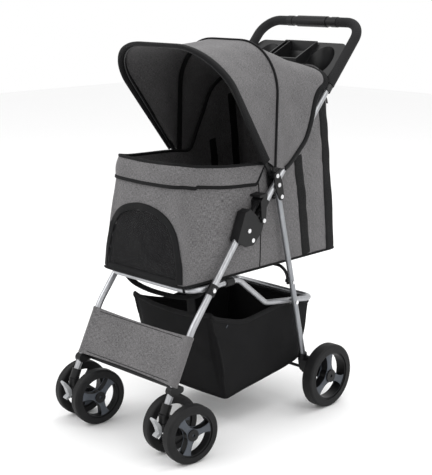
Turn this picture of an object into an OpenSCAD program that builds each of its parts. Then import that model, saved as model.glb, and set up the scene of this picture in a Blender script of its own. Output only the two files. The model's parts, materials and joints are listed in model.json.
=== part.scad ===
// Folding four-wheel pet stroller.
// X runs across (left side is +X), the front faces -Y, Z is up, and the wheels stand on Z = 0.

/* [Frame] */
// Distance between the centres of the front leg tubes, and of the handle tubes
frame_w = 328; // [300:1:400]
// Distance between the centres of the rear leg tubes
rear_legs_w = 334; // [324:1:420]
// Distance between the centres of the basket bar's side tubes
bar_w = 292; // [270:1:294]
// Outer diameter of the front leg tubes
leg_d = 16; // [12:0.5:18]
// Outer diameter of the handle tube
handle_d = 16; // [12:0.5:18]
// Outer diameter of the rear leg tubes
rear_leg_d = 14; // [10:0.5:16]
// Outer diameter of the basket bar
bar_d = 14; // [8:0.5:14]
// Wall thickness of all frame tubes
tube_wall = 1.2; // [0.8:0.1:2]

/* [Front legs] */
// Y of the caster swivel axes
caster_y = -343; // [-420:1:-280]
// Height of the lower end of the front legs
leg_foot_z = 122; // [110:1:170]
// Height of the knee in the front legs
knee_z = 293; // [260:1:320]
// Lean of the lower part of the front legs from vertical, degrees
lower_lean = 26.5; // [20:0.5:30]
// Lean of the upper part of the front legs from vertical, degrees
upper_lean = 38.2; // [33:0.2:42]
// Height of the upper end of the front legs
leg_top_z = 493; // [480:1:498]

/* [Handle] */
// Lean of the handle from vertical, degrees
handle_lean = 41.7; // [36:0.1:46]
// Height of the centre of the handle's cross tube
handle_top_z = 965; // [930:1:1100]
// Bend radius of the handle's top corners, at the tube's centre
handle_bend = 52; // [40:1:80]
// Outer diameter of the foam grips
foam_d = 25; // [20:0.5:32]
// Height at which the foam grips begin
foam_z = 818; // [812:1:850]
// Length of the moulded grip cover in the middle of the handle
grip_l = 166; // [100:1:190]
// Outer diameter of the grip cover
grip_d = 29; // [24:0.5:34]

/* [Fold joint] */
// Height of the fold pivots
fold_z = 474; // [468:1:478]
// How far the fold pivots stand behind the front leg's centre line
fold_back = 47; // [44:0.5:52]
// How far the handle's centre line passes in front of the fold pivots
handle_forward = 18; // [15:0.5:20]
// Height of the lower end of the handle tube
handle_foot_z = 530; // [526:1:534]
// Diameter of the fold pivot pins
fold_pin_d = 6; // [4:0.5:8]
// Width of the tongue that turns in the housing
tongue_w = 16; // [12:0.5:18]

/* [Hinge plates] */
// Height of the rivet that holds the hinge plates on the handle tube
plate_z = 595; // [585:1:605]
// How far the rear leg pivots stand behind the handle's centre line
rear_pivot_back = 37; // [33:0.5:42]
// How far the rear leg pivots lie under the plate's middle rivet
rear_pivot_drop = 30; // [26:0.5:36]
// How far the canopy pivots stand before the handle's centre line
canopy_pivot_front = 27.5; // [25:0.5:32]
// How far the canopy pivots lie over the plate's middle rivet
canopy_pivot_rise = 23; // [20:0.5:30]
// Thickness of each hinge plate
plate_t = 3.6; // [2:0.2:4]

/* [Rear legs] */
// Lean of the rear legs from vertical, degrees
rear_lean = 13.6; // [10:0.2:18]
// How far the rear axle stands behind the rear leg's centre line
axle_back = 30; // [26:1:36]
// Diameter of the rear axle
axle_d = 8; // [6:0.5:10]
// Height of the pivot between the rear legs and the basket bar
bar_pivot_z = 285; // [270:1:300]

/* [Wheels] */
// Diameter of the rear wheels
rear_wheel_d = 164; // [150:1:190]
// Width of the rear wheels
rear_wheel_w = 32; // [24:1:36]
// Overall width over the rear wheels
track_w = 454; // [446:1:520]
// Diameter of the front wheels
front_wheel_d = 140; // [120:1:160]
// Width of each front wheel
front_wheel_w = 26; // [20:1:28]
// Distance between the middles of the two wheels of a caster
pair_w = 82; // [78:1:96]
// How far each front axle trails behind its swivel axis
trail = 43; // [36:1:50]
// How far the casters stand turned, degrees
caster_turn = 9; // [0:1:15]
// Diameter of the front axles
front_axle_d = 8; // [6:0.5:10]

/* [Basket bar] */
// Height of the level front stretch of the basket bar
bar_z = 376; // [370:1:378]
// How far the bar reaches before the front legs' pivot
bar_front = 48; // [40:1:70]
// Length of the level stretch behind the front legs' pivot
bar_level = 108; // [90:1:120]
// Y of the bar's rear cross tube
bar_rear_y = 205; // [190:1:230]
// Bend radius of the bar in plan
bar_bend = 38; // [30:1:60]

/* [Cabin] */
// Width of the cabin across its floor
cabin_w = 284; // [240:1:288]
// Width of the cabin across the top of its front panel
cabin_top_w = 208; // [180:1:280]
// Y of the foot of the front panel
cabin_front_y = -262; // [-300:1:-230]
// Y of the foot of the rear panel
cabin_rear_y = 298; // [250:1:320]
// Height of the underside of the cabin
cabin_floor_z = 387; // [386:1:400]
// Height of the front rim
rim_z = 664; // [560:1:700]
// Height of the rear top corners
rear_top_z = 788; // [770:1:796]
// Thickness of the cabin's cloth
cloth_t = 3; // [2:0.5:5]
// Thickness of the stiff floor board
board_t = 4; // [3:0.5:8]

/* [Canopy] */
// Diameter of the canopy bow wires
bow_d = 6; // [4:0.5:7]
// Height of the middle bow over its pivot
mid_bow_h = 308; // [270:1:320]
// Half the width of the middle bow
mid_bow_half = 165; // [164:0.5:166]
// Lean of the middle bow behind vertical, degrees
mid_bow_lean = 1.5; // [0:0.5:4]
// Length of the front bow from its pivot to its top
front_bow_h = 374; // [340:1:390]
// Half the width of the front bow at its top
front_bow_half = 177; // [172:0.5:182]
// Lean of the front bow before vertical, degrees
front_bow_lean = 35.2; // [30:0.2:44]
// Bend radius of the bows' top corners
bow_bend = 118; // [80:1:130]

/* [Basket] */
// Width of the basket at its top
basket_w = 272; // [220:1:274]
// Width of the basket's floor
basket_floor_w = 262; // [200:1:270]
// Height of the lowest edge of the basket
basket_low_z = 75; // [60:1:120]
// Height of the basket's front top edge
basket_front_z = 300; // [280:1:330]
// Y of the basket's front top edge
basket_front_y = -168; // [-190:1:-150]

/* [Parent tray] */
// Inner diameter of the cup holders
cup_d = 76; // [66:1:78]
// Distance between the centres of the cup holders
cup_pitch = 188; // [186:1:192]
// Wall thickness of the tray
tray_wall = 3; // [2:0.5:4]

/* [Hidden] */
$fn = 48;

// Clearances
fit = 0.05;      // running or press fit, on the radius
gap = 0.4;       // between faces that pass each other
seat = 0.02;     // between pieces that are fastened together

// Derived places, as [y, z] in the plane of one side
leg_x = frame_w / 2;
rear_x = rear_legs_w / 2;
bar_x = bar_w / 2;
leg_r = leg_d / 2;
handle_r = handle_d / 2;
rear_leg_r = rear_leg_d / 2;
bar_r = bar_d / 2;
foot_lead = 3;   // the leg's foot stands this far behind the swivel axis
leg_foot = [caster_y + foot_lead, leg_foot_z];
knee = [leg_foot[0] + (knee_z - leg_foot_z) * tan(lower_lean), knee_z];
function leg_y(z) = knee[0] + (z - knee_z) * tan(upper_lean);
leg_top = [leg_y(leg_top_z), leg_top_z];
knee_bend = 160;

fold = [leg_y(fold_z) + fold_back, fold_z];
function handle_y(z) = fold[0] - handle_forward + (z - fold_z) * tan(handle_lean);
handle_dir = [sin(handle_lean), cos(handle_lean)];
handle_norm = [-cos(handle_lean), sin(handle_lean)];
catch = fold + [-13, 25];
latch = fold + [34, 43];
plate_mid = [handle_y(plate_z), plate_z];
rear_pivot = [handle_y(plate_z - rear_pivot_drop) + rear_pivot_back, plate_z - rear_pivot_drop];
canopy_pivot = [handle_y(plate_z + canopy_pivot_rise) - canopy_pivot_front, plate_z + canopy_pivot_rise];

rear_wheel_r = rear_wheel_d / 2;
function rear_leg_y(z) = rear_pivot[0] + (rear_pivot[1] - z) * tan(rear_lean);
axle = [rear_leg_y(rear_wheel_r) + axle_back, rear_wheel_r];
rear_leg_foot = [rear_leg_y(rear_wheel_r + 14), rear_wheel_r + 14];
bar_pivot = [rear_leg_y(bar_pivot_z), bar_pivot_z];
leg_pivot = [leg_y(bar_z - 1), bar_z - 1];
front_wheel_r = front_wheel_d / 2;
front_axle = [caster_y + trail, front_wheel_r];
rear_wheel_x = (track_w - rear_wheel_w) / 2;

pin_r = 3;
rivet_r = 2.5;
head_r = 5.2;
head_t = 1.8;
shell_t = 4.6;   // wall of the fold housing beside the tongue
house_in = leg_x - tongue_w / 2 - gap - shell_t;
house_out = leg_x + tongue_w / 2 + gap + shell_t;

steel = "silver";
dark = [0.09, 0.09, 0.1];
rubber = [0.05, 0.05, 0.055];
grey = [0.42, 0.43, 0.45];
cloth = [0.33, 0.32, 0.33];

// ---- helpers ----
function unit(v) = v / norm(v);
function at(x, p) = [x, p[0], p[1]];
function turn(a, b, c) = acos(max(-1, min(1, unit(b - a) * unit(c - b))));

// draws the left side's solid, or its mirror image for the right side
module side(left) {
    mirror([left ? 0 : 1, 0, 0]) children();
}

// a profile in [y, z] drawn as a slab from x0 to x1
module slab(x0, x1) {
    multmatrix([[0, 0, 1, x0], [1, 0, 0, 0], [0, 1, 0, 0], [0, 0, 0, 1]])
        linear_extrude(x1 - x0) children();
}

module disc(p, r) {
    translate(p) circle(r);
}

// a round bar along X at the side-view point p
module xbar(x0, x1, p, r) {
    translate([x0, p[0], p[1]]) rotate([0, 90, 0]) cylinder(h = x1 - x0, r = r);
}

// a pin along X with a head at each end
module rivet(x0, x1, p, r) {
    xbar(x0, x1, p, r);
    xbar(x0 - head_t, x0, p, head_r);
    xbar(x1, x1 + head_t, p, head_r);
}

// puts the Z axis on the line from p to q
module along(p, q) {
    w = unit(q - p);
    u = unit(cross(abs(w[0]) < 0.9 ? [1, 0, 0] : [0, 1, 0], w));
    v = cross(w, u);
    multmatrix([[u[0], v[0], w[0], p[0]], [u[1], v[1], w[1], p[1]], [u[2], v[2], w[2], p[2]], [0, 0, 0, 1]])
        children();
}

module straight(p, q, r) {
    along(p, q) cylinder(h = norm(q - p), r = r);
}

// the bend is a hair thinner than the straights, which run a little way over it
bend_slack = 0.03;
lap = 0.6;
module elbow(a, corner, b, r, bend) {
    u = unit(corner - a);
    v = unit(b - corner);
    n = unit(v - u * (u * v));
    c = corner - u * bend * tan(turn(a, corner, b) / 2) + n * bend;
    z = cross(-n, u);
    multmatrix([[-n[0], u[0], z[0], c[0]], [-n[1], u[1], z[1], c[1]], [-n[2], u[2], z[2], c[2]], [0, 0, 0,
        1]])
        rotate_extrude(angle = turn(a, corner, b)) translate([bend, 0]) circle(r - bend_slack);
}

// a round bar through the points, with every corner bent to the same radius
module pipe(pts, r, bend) {
    last = len(pts) - 1;
    cut = [for (i = [0:last])
        (i == 0 || i == last) ? 0 : bend * tan(turn(pts[i - 1], pts[i], pts[i + 1]) / 2) - lap];
    for (i = [0:last - 1]) {
        d = unit(pts[i + 1] - pts[i]);
        straight(pts[i] + d * cut[i], pts[i + 1] - d * cut[i + 1], r);
    }
    for (i = [1:last - 1]) elbow(pts[i - 1], pts[i], pts[i + 1], r, bend);
}

// the same as a closed loop
module ring(pts, r, bend) {
    n = len(pts);
    cut = [for (i = [0:n - 1]) bend * tan(turn(pts[(i + n - 1) % n], pts[i], pts[(i + 1) % n]) / 2) - lap];
    for (i = [0:n - 1]) {
        j = (i + 1) % n;
        d = unit(pts[j] - pts[i]);
        straight(pts[i] + d * cut[i], pts[j] - d * cut[j], r);
        elbow(pts[i], pts[j], pts[(i + 2) % n], r, bend);
    }
}

// ---- front frame ----
module leg_path(r) {
    pipe([at(leg_x, leg_foot), at(leg_x, knee), at(leg_x, leg_top)], r, knee_bend);
}

module front_leg() {
    color(steel) difference() {
        leg_path(leg_r);
        leg_path(leg_r - tube_wall);
        xbar(leg_x - leg_d, leg_x + leg_d, leg_pivot, pin_r + fit);
    }
}

// outline of the housing, from the front edge round the top to the rear and the foot
house_pts = [[-52, 4], [-26, 70], [-8, 76], [38, 36], [30, 14], [2, -12], [-26, -12]];
module house_outline() {
    difference() {
        offset(r = 5) offset(delta = -5) polygon([for (p = house_pts) fold + p]);
        // the latch's pin passes over this corner when the handle folds
        difference() {
            translate(fold + [18, 20]) square(60);
            disc(fold, norm(latch - fold) - rivet_r - gap);
        }
    }
}

// room behind and above the leg's end, where the tongue and the latch turn
module house_pocket() {
    n = [cos(upper_lean), -sin(upper_lean)];
    a = [sin(upper_lean), cos(upper_lean)];
    o = leg_top + n * (leg_r + 1.4);
    polygon([o - a * 90, o + a * 2, leg_top + a * 3 - n * 12, leg_top + a * 110 - n * 12,
        leg_top + a * 110 + n * 130, o - a * 90 + n * 130]);
}

module fold_housing() {
    color(dark) difference() {
        slab(house_in, house_out) house_outline();
        slab(house_in + shell_t, house_out - shell_t) house_pocket();
        leg_path(leg_r + seat);
        xbar(house_in - 1, house_out + 1, fold, fold_pin_d / 2 + fit);
        xbar(house_in - 1, house_out + 1, catch, rivet_r + fit);
    }
}

module front_pins() {
    color(steel) for (left = [true, false]) side(left) {
        rivet(house_in - seat, house_out + seat, fold, fold_pin_d / 2);
        rivet(house_in - seat, house_out + seat, catch, rivet_r);
        rivet(bar_x - bar_r - seat, leg_x + leg_r + seat, leg_pivot, pin_r);
    }
}

socket_r = 13;
socket_z = 96;
socket_top = leg_foot_z + 12;
stem_r = 4.5;
stem_top = leg_foot_z - 8;
module caster_socket() {
    color(dark) difference() {
        union() {
            translate([leg_x, caster_y, socket_z]) cylinder(h = stem_top + 3 - socket_z, r = socket_r);
            straight(at(leg_x, leg_foot + [-3, -8]), at(leg_x, leg_foot + [tan(lower_lean), 1] * 14),
                socket_r - 1.5);
        }
        leg_path(leg_r + seat);
        translate([leg_x, caster_y, socket_z - 1]) cylinder(h = stem_top + 1 - socket_z, r = stem_r + fit);
    }
}

flap_low_z = leg_foot_z + 57;
flap_high_z = knee_z - 14;
cross_z = leg_foot_z + 41;
function lower_y(z) = leg_foot[0] + (z - leg_foot_z) * tan(lower_lean);
cross_at = [lower_y(cross_z) + 22, cross_z];
cross_r = 6;
module front_crossbar() {
    color(dark) difference() {
        union() {
            xbar(-leg_x - 6, leg_x + 6, cross_at, cross_r);
            for (left = [true, false]) side(left) {
                slab(leg_x - 9, leg_x + 9) hull() {
                    disc(cross_at, cross_r + 2, $fn = 32);
                    disc([lower_y(cross_z), cross_z], leg_r + 3.5, $fn = 32);
                }
            }
        }
        for (left = [true, false]) side(left) leg_path(leg_r + seat);
    }
}

flap_t = 4;
module footrest_flap() {
    low = at(leg_x, [lower_y(flap_low_z), flap_low_z]);
    high = at(leg_x, [lower_y(flap_high_z), flap_high_z]);
    color(cloth) difference() {
        union() {
            for (left = [true, false]) side(left) straight(low, high, leg_r + 2.6);
            along([0, low[1], low[2]], [0, high[1], high[2]])
                translate([-flap_t / 2, -leg_x, 0]) cube([flap_t, frame_w, norm(high - low)]);
        }
        for (left = [true, false]) side(left) leg_path(leg_r + gap);
    }
}

module bar_bracket() {
    a = [sin(upper_lean), cos(upper_lean)];
    color(dark) difference() {
        straight(at(leg_x, leg_pivot - a * 13), at(leg_x, leg_pivot + a * 13), leg_r + 3.5);
        leg_path(leg_r + seat);
        translate([bar_x - 50, leg_pivot[0] - 50, leg_pivot[1] - 50]) cube([50 + bar_r + gap, 100, 100]);
        xbar(leg_x, leg_x + 60, leg_pivot, head_r + 2);
        xbar(leg_x - 60, leg_x, leg_pivot, pin_r + fit);
    }
}

// ---- casters: everything is drawn straight and then turned about the swivel axis ----
module turned() {
    translate([leg_x, caster_y, 0]) rotate([0, 0, -caster_turn]) translate([-leg_x, -caster_y, 0])
        children();
}
// the right caster turns the same way round as the left one
module caster_side(left) {
    if (left) turned() children();
    else translate([-frame_w, 0, 0]) turned() children();
}

fork_w = 40;
fork_top_z = socket_z - 1.2;
lock_pivot = [caster_y - 13, 76];
module caster_fork() {
    fork_r = 15;
    color(dark) difference() {
        union() {
            translate([leg_x, caster_y, fork_top_z - 30]) cylinder(h = 30, r = fork_r);
            slab(leg_x - fork_w / 2 + 6, leg_x + fork_w / 2 - 6) hull() {
                disc([caster_y + 2, fork_top_z - 18], 13, $fn = 32);
                disc(front_axle, 13, $fn = 32);
                disc([caster_y - 8, 70], 6, $fn = 32);
            }
            xbar(leg_x - fork_w / 2, leg_x + fork_w / 2, front_axle, 13);
        }
        translate([leg_x, caster_y, fork_top_z - 24]) cylinder(h = 40, r = stem_r + fit);
        xbar(leg_x - 40, leg_x + 40, front_axle, front_axle_d / 2 + fit);
        slab(leg_x - 8 - gap, leg_x + 8 + gap) {
            disc(lock_pivot, 9);
            translate([lock_pivot[0] - 40, lock_pivot[1] - 30]) square([43, 60]);
        }
        xbar(leg_x - 30, leg_x + 30, lock_pivot, 2 + fit);
    }
}

module caster_pins() {
    color(steel) {
        translate([leg_x, caster_y, fork_top_z - 24 + seat]) cylinder(h = stem_top - 2 - fork_top_z + 24,
            r = stem_r);
        reach = pair_w / 2 + front_wheel_w / 2 - 4;
        xbar(leg_x - reach, leg_x + reach, front_axle, front_axle_d / 2);
        xbar(leg_x - 13.8, leg_x + 13.8, lock_pivot, 2);
    }
}

module swivel_lock() {
    color(grey) slab(leg_x - 8, leg_x + 8) difference() {
        union() {
            hull() {
                disc(lock_pivot, 6.5, $fn = 32);
                disc(lock_pivot + [-9, 20], 4.5, $fn = 32);
            }
            hull() {
                disc(lock_pivot + [-9, 20], 4.5, $fn = 32);
                disc(lock_pivot + [-18, 33], 3, $fn = 32);
            }
            hull() {
                disc(lock_pivot + [-2, -2], 4, $fn = 32);
                disc(lock_pivot + [-12, -8], 3, $fn = 32);
            }
        }
        disc(lock_pivot, 2 + fit);
    }
}

// ---- wheels: drawn with the axle on X and the middle at the origin ----
module tyre(d, w) {
    r = d / 2;
    rim_r = r * 0.76;
    color(rubber) rotate([0, 90, 0]) rotate_extrude($fn = 96) difference() {
        translate([rim_r, -w / 2]) hull() {
            square([2, w]);
            translate([r - rim_r - 6, 6]) circle(6, $fn = 32);
            translate([r - rim_r - 6, w - 6]) circle(6, $fn = 32);
            translate([r - rim_r - 3, w / 2]) circle(3, $fn = 32);
        }
        translate([rim_r - 1, -3]) square([4, 6]);
    }
}

rim_t = 4.4;     // thickness of the hubs' rims
module hub(d, w, bore, phase) {
    r = d / 2;
    rim_r = r * 0.76 - seat;
    color(dark) rotate([0, 90, 0]) difference() {
        union() {
            rotate_extrude($fn = 96) translate([rim_r - rim_t, -w / 2 + 3]) square([rim_t, w - 6]);
            rotate_extrude($fn = 96) translate([rim_r - 1, -3 + fit]) square([4 - fit, 6 - 2 * fit]);
            cylinder(h = w, r = r * 0.2, center = true);
            for (k = [0:2]) rotate([0, 0, 90 - phase - 120 * k]) translate([0, -r * 0.1, -w * 0.3])
                cube([rim_r - 3, r * 0.2, w * 0.6]);
        }
        cylinder(h = w + 2, r = bore + fit, center = true);
    }
}

front_phase = [-10, -47];
rear_phase = -94;
module front_wheel_place(left, outer) {
    s = (outer ? 1 : -1) * (left ? 1 : -1);
    caster_side(left) translate([leg_x + s * pair_w / 2, front_axle[0], front_axle[1]]) children();
}
module front_tyre(left, outer) {
    front_wheel_place(left, outer) tyre(front_wheel_d, front_wheel_w);
}
module front_hub(left, outer) {
    front_wheel_place(left, outer) hub(front_wheel_d, front_wheel_w, front_axle_d / 2,
        front_phase[left ? 0 : 1]);
}
module rear_wheel_place(left) {
    translate([(left ? 1 : -1) * rear_wheel_x, axle[0], axle[1]]) children();
}

// ---- handle ----
handle_corner = [handle_y(handle_top_z), handle_top_z];
module handle_path(r) {
    pipe([[leg_x, handle_y(handle_foot_z), handle_foot_z], at(leg_x, handle_corner), at(-leg_x,
        handle_corner),
        [-leg_x, handle_y(handle_foot_z), handle_foot_z]], r, handle_bend);
}
module handle_tube() {
    color(steel) difference() {
        handle_path(handle_r);
        handle_path(handle_r - tube_wall);
        for (left = [true, false]) side(left)
            xbar(leg_x - handle_d, leg_x + handle_d, plate_mid, rivet_r + fit);
    }
}

sleeve_r = 10;
sleeve_top_z = 560;
module fold_knuckle() {
    tongue_r = 12;
    color(dark) difference() {
        union() {
            slab(leg_x - tongue_w / 2, leg_x + tongue_w / 2) hull() {
                disc(fold, tongue_r);
                disc(latch, tongue_r);
                disc([handle_y(handle_foot_z), handle_foot_z], sleeve_r);
            }
            straight([leg_x, handle_y(handle_foot_z - 6), handle_foot_z - 6],
                [leg_x, handle_y(sleeve_top_z), sleeve_top_z], sleeve_r);
        }
        straight([leg_x, handle_y(handle_foot_z), handle_foot_z],
            [leg_x, handle_y(sleeve_top_z + 20), sleeve_top_z + 20], handle_r + seat);
        xbar(leg_x - 30, leg_x + 30, fold, fold_pin_d / 2 + fit);
        xbar(leg_x - 30, leg_x + 30, latch, rivet_r + fit);
    }
}

cheek_in = house_out - leg_x + gap;      // from the tube's middle to the latch's cheeks
cheek_t = 3;
lever_w = 10;
lever_bridge = [handle_y(546), 546] + handle_norm * 25;
lever_crest = [handle_y(562), 562] + handle_norm * 24;
module latch_cheek() {
    difference() {
        hull() {
            disc(latch, 7, $fn = 32);
            disc(lever_bridge, 4, $fn = 32);
            disc(lever_crest, 4, $fn = 32);
        }
        disc(latch, rivet_r + fit);
    }
}
module latch_lever() {
    color(dark) {
        slab(leg_x + cheek_in, leg_x + cheek_in + cheek_t) latch_cheek();
        slab(leg_x - cheek_in - cheek_t, leg_x - cheek_in) latch_cheek();
        slab(leg_x - cheek_in - cheek_t, leg_x + cheek_in + cheek_t) {
            hull() {
                disc(lever_bridge, 3.5, $fn = 32);
                disc(lever_crest, 3.5, $fn = 32);
            }
            hull() {
                disc(lever_crest, 3.5, $fn = 32);
                disc(lever_crest + [-20, -2], 3, $fn = 32);
            }
        }
        slab(leg_x - lever_w / 2, leg_x + lever_w / 2) {
            hull() {
                disc(lever_bridge, 3.5, $fn = 32);
                disc(catch + [-1, 9.4], 4.5, $fn = 32);
            }
            hull() {
                disc(catch + [-2, 9.4], 4.5, $fn = 32);
                disc(catch + [-9.6, 0.8], 2.4, $fn = 32);
            }
        }
    }
}

plate_out = max(leg_x + handle_r, rear_x + rear_leg_r) + gap;
plate_in = leg_x - handle_r - gap;
module plate_outline() {
    difference() {
        union() {
            hull() {
                disc(canopy_pivot, 10);
                disc(plate_mid, 13);
            }
            hull() {
                disc(plate_mid, 13);
                disc(rear_pivot, 9);
            }
        }
        disc(plate_mid, rivet_r + fit);
        disc(rear_pivot, rivet_r + fit);
        disc(canopy_pivot, rivet_r + fit);
    }
}
module hinge_plate() {
    color(dark) {
        slab(plate_out, plate_out + plate_t) plate_outline();
        slab(plate_in - plate_t, plate_in) plate_outline();
    }
}

module handle_rivets() {
    color(steel) for (left = [true, false]) side(left) {
        for (p = [plate_mid, rear_pivot, canopy_pivot])
            rivet(plate_in - plate_t - seat, plate_out + plate_t + seat, p, rivet_r);
        rivet(leg_x - cheek_in - cheek_t - gap, leg_x + cheek_in + cheek_t + gap, latch, rivet_r);
    }
}

module foam_grips() {
    foot = [leg_x, handle_y(foam_z), foam_z];
    color(rubber) for (left = [true, false]) side(left) difference() {
        pipe([foot, at(leg_x, handle_corner), [grip_l / 2 + seat, handle_corner[0], handle_corner[1]]],
            foam_d / 2, handle_bend);
        handle_path(handle_r + seat);
    }
}

module grip_cover() {
    c = handle_corner;
    color(dark) difference() {
        union() {
            xbar(-grip_l / 2, grip_l / 2, c, grip_d / 2 - 2);
            for (s = [-1, 1]) xbar(s * (grip_l / 2 - 9) - 9, s * (grip_l / 2 - 9) + 9, c, grip_d / 2 - 1);
            xbar(-grip_l / 2 + 34, grip_l / 2 - 34, c, grip_d / 2);
        }
        xbar(-grip_l, grip_l, c, handle_r + seat);
    }
}

cup_r = cup_d / 2;
cup_floor_z = foam_z;
cup_y = handle_y(cup_floor_z) + 45;
tray_half = leg_x - foam_d / 2 - 1.5;
tray_front = cup_y - cup_r - tray_wall;
tray_rear = cup_y + cup_r + tray_wall;
box_half = cup_pitch / 2 - cup_r - 2;
box_front = tray_front - 4;
box_floor_z = cup_floor_z + 26;
tray_slope = 0.934;
flange_t = 5;
// height of the slanting plane of the cups' mouths, and of the middle box's gentler one
function cut_z(y) = cup_floor_z + 16 + (y - (cup_y - cup_r)) * tray_slope;
function mid_z(y) = cup_floor_z + 62 + (y - tray_front) * 0.46;
module above_cut() {
    y0 = tray_front - 60;
    y1 = tray_rear + 60;
    slab(-frame_w, frame_w) polygon([[y0, cut_z(y0)], [y1, cut_z(y1)], [y1, 1200], [y0, 1200]]);
}
module tray_box() {
    slab(-box_half, box_half) polygon([[box_front, box_floor_z - tray_wall], [tray_rear - 12,
        box_floor_z - tray_wall],
        [tray_rear, cut_z(tray_rear) - 20], [tray_rear, mid_z(tray_rear)], [box_front, mid_z(box_front)]]);
}
module tray_flange() {
    lean = atan(tray_slope);
    span = (tray_rear - tray_front + 12) / cos(lean);
    translate([0, cup_y, cut_z(cup_y) + 1]) rotate([lean, 0, 0]) translate([0, 0, -flange_t])
        linear_extrude(flange_t)
        hull() for (s = [-1, 1], e = [-1, 1])
            translate([s * (tray_half - 22), e * (span / 2 - 22)]) circle(22, $fn = 40);
}
// [lower, upper] ends of the middle box's two hollows in X
hollows = [[-box_half + tray_wall + 1, -37], [-34, box_half - tray_wall - 1]];
module tray_shell() {
    difference() {
        union() {
            difference() {
                for (s = [-1, 1]) translate([s * cup_pitch / 2, cup_y, cup_floor_z - tray_wall])
                    cylinder(h = 140, r = cup_r + tray_wall);
                above_cut();
            }
            tray_flange();
            tray_box();
        }
        for (s = [-1, 1]) translate([s * cup_pitch / 2, cup_y, cup_floor_z]) cylinder(h = 200, r = cup_r);
        for (h = hollows) slab(h[0], h[1]) polygon([[box_front + tray_wall, box_floor_z],
            [tray_rear - 14, box_floor_z], [tray_rear - tray_wall, cut_z(tray_rear) - 17],
            [tray_rear - tray_wall, 1100], [box_front + tray_wall, 1100]]);
    }
}
// the arm and the clamp that hold the tray on the handle tube
module tray_arm() {
    arm_y = handle_y(foam_z - 8);
    difference() {
        union() {
            slab(tray_half - 14, tray_half - 1) polygon([[arm_y - 6, foam_z - 14], [arm_y + 30,
                foam_z - 14],
                [arm_y + 30, cut_z(arm_y + 30) - 2], [arm_y + 13, cut_z(arm_y + 13) - 2],
                [arm_y - 6, foam_z - 2]]);
            translate([tray_half - 14, arm_y - 6, foam_z - 14]) cube([leg_x - tray_half + 8, 12, 12]);
            straight([leg_x, handle_y(foam_z - 14), foam_z - 14], [leg_x, handle_y(foam_z - 2), foam_z - 2],
                handle_r + 3.5);
        }
        straight([leg_x, handle_y(foam_z - 60), foam_z - 60], [leg_x, handle_y(foam_z + 60), foam_z + 60],
            handle_r + seat);
    }
}
module cup_tray() {
    color(dark) {
        tray_shell();
        for (left = [true, false]) side(left) tray_arm();
    }
}

// ---- canopy ----
eye_r = 8;
mid_eye = [leg_x + 1, leg_x + 6];
front_eye = [leg_x - 7, mid_bow_half - bow_d / 2 - gap];
// turns a shape drawn upright on the pivot to the bow's lean, positive to the rear
module leaned(angle) {
    translate([0, canopy_pivot[0], canopy_pivot[1]]) rotate([-angle, 0, 0]) children();
}
module canopy_mid_bow() {
    color(steel) leaned(mid_bow_lean) difference() {
        union() {
            pipe([[mid_bow_half, 0, eye_r - 2], [mid_bow_half, 0, mid_bow_h], [-mid_bow_half, 0, mid_bow_h],
                [-mid_bow_half, 0, eye_r - 2]], bow_d / 2, bow_bend);
            for (left = [true, false]) side(left) xbar(mid_eye[0], mid_eye[1], [0, 0], eye_r);
        }
        for (left = [true, false]) side(left) xbar(leg_x - 30, leg_x + 30, [0, 0], rivet_r + fit);
    }
}

arm_h = 56;
arm_x = leg_x - 4;
front_foot = [arm_x, 0, arm_h - 12];
module canopy_front_bow() {
    color(steel) leaned(-front_bow_lean)
        pipe([front_foot, [front_bow_half, 0, front_bow_h], [-front_bow_half, 0, front_bow_h],
            [-front_foot[0], 0, front_foot[2]]], bow_d / 2, bow_bend - 3);
}
module canopy_arms() {
    color(dark) leaned(-front_bow_lean) for (left = [true, false]) side(left) difference() {
        union() {
            xbar(front_eye[0], front_eye[1], [0, 0], eye_r);
            translate([front_eye[0], -5, 0]) cube([front_eye[1] - front_eye[0], 10, arm_h]);
            along([arm_x, 0, arm_h - 18], [front_bow_half, 0, front_bow_h]) cylinder(h = 24,
                r = bow_d / 2 + 2.4);
        }
        xbar(leg_x - 30, leg_x + 30, [0, 0], rivet_r + fit);
        along(front_foot, [front_bow_half, 0, front_bow_h]) cylinder(h = 80, r = bow_d / 2 + seat);
    }
}

// outline of an arch in its own plane, wide or narrow by the offset o
module arch(half, top, r, o, foot) {
    hull() {
        for (s = [-1, 1]) translate([s * (half + o - r), top + o - r]) circle(r, $fn = 40);
        translate([-half - o, foot]) square([2 * (half + o), 1]);
    }
}
module arch_plate(angle, half, top, r, o, foot, t) {
    leaned(angle) rotate([90, 0, 0]) translate([0, 0, -t / 2]) linear_extrude(t) arch(half, top, r, o,
        foot);
}

bow_out = bow_d / 2 + 0.6;
module canopy_front() {
    lip = 4;
    color(cloth) difference() {
        hull() {
            arch_plate(-front_bow_lean, front_bow_half, front_bow_h, bow_bend, bow_out + cloth_t,
                arm_h + 4, lip);
            arch_plate(mid_bow_lean - 1.5, mid_bow_half, mid_bow_h, bow_bend, bow_out + cloth_t,
                arm_h + 4, lip);
        }
        hull() {
            arch_plate(-front_bow_lean - 3, front_bow_half, front_bow_h, bow_bend, bow_out, 0, lip);
            arch_plate(-front_bow_lean, front_bow_half, front_bow_h, bow_bend, bow_out, 0, bow_d);
            arch_plate(mid_bow_lean, mid_bow_half, mid_bow_h, bow_bend, bow_out, 0, bow_d);
            arch_plate(mid_bow_lean + 3, mid_bow_half, mid_bow_h, bow_bend, bow_out, 0, lip);
        }
    }
}

hem_half = leg_x + handle_r + 2;
hem_y = 200;
// outline of the rear cloth's end, from the side's foot over the top
hem_side = [[hem_half, 832], [165, 841], [150, 850], [110, 861], [70, 866], [0, 871]];
module hem_plate(o, foot, t) {
    pts = concat([[hem_half, foot]], hem_side);
    translate([0, hem_y, 0]) rotate([90, 0, 0]) translate([0, 0, -t / 2]) linear_extrude(t)
        offset(delta = o) polygon(concat(pts, [for (i = [len(pts) - 2:-1:0]) [-pts[i][0], pts[i][1]]]));
}
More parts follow.
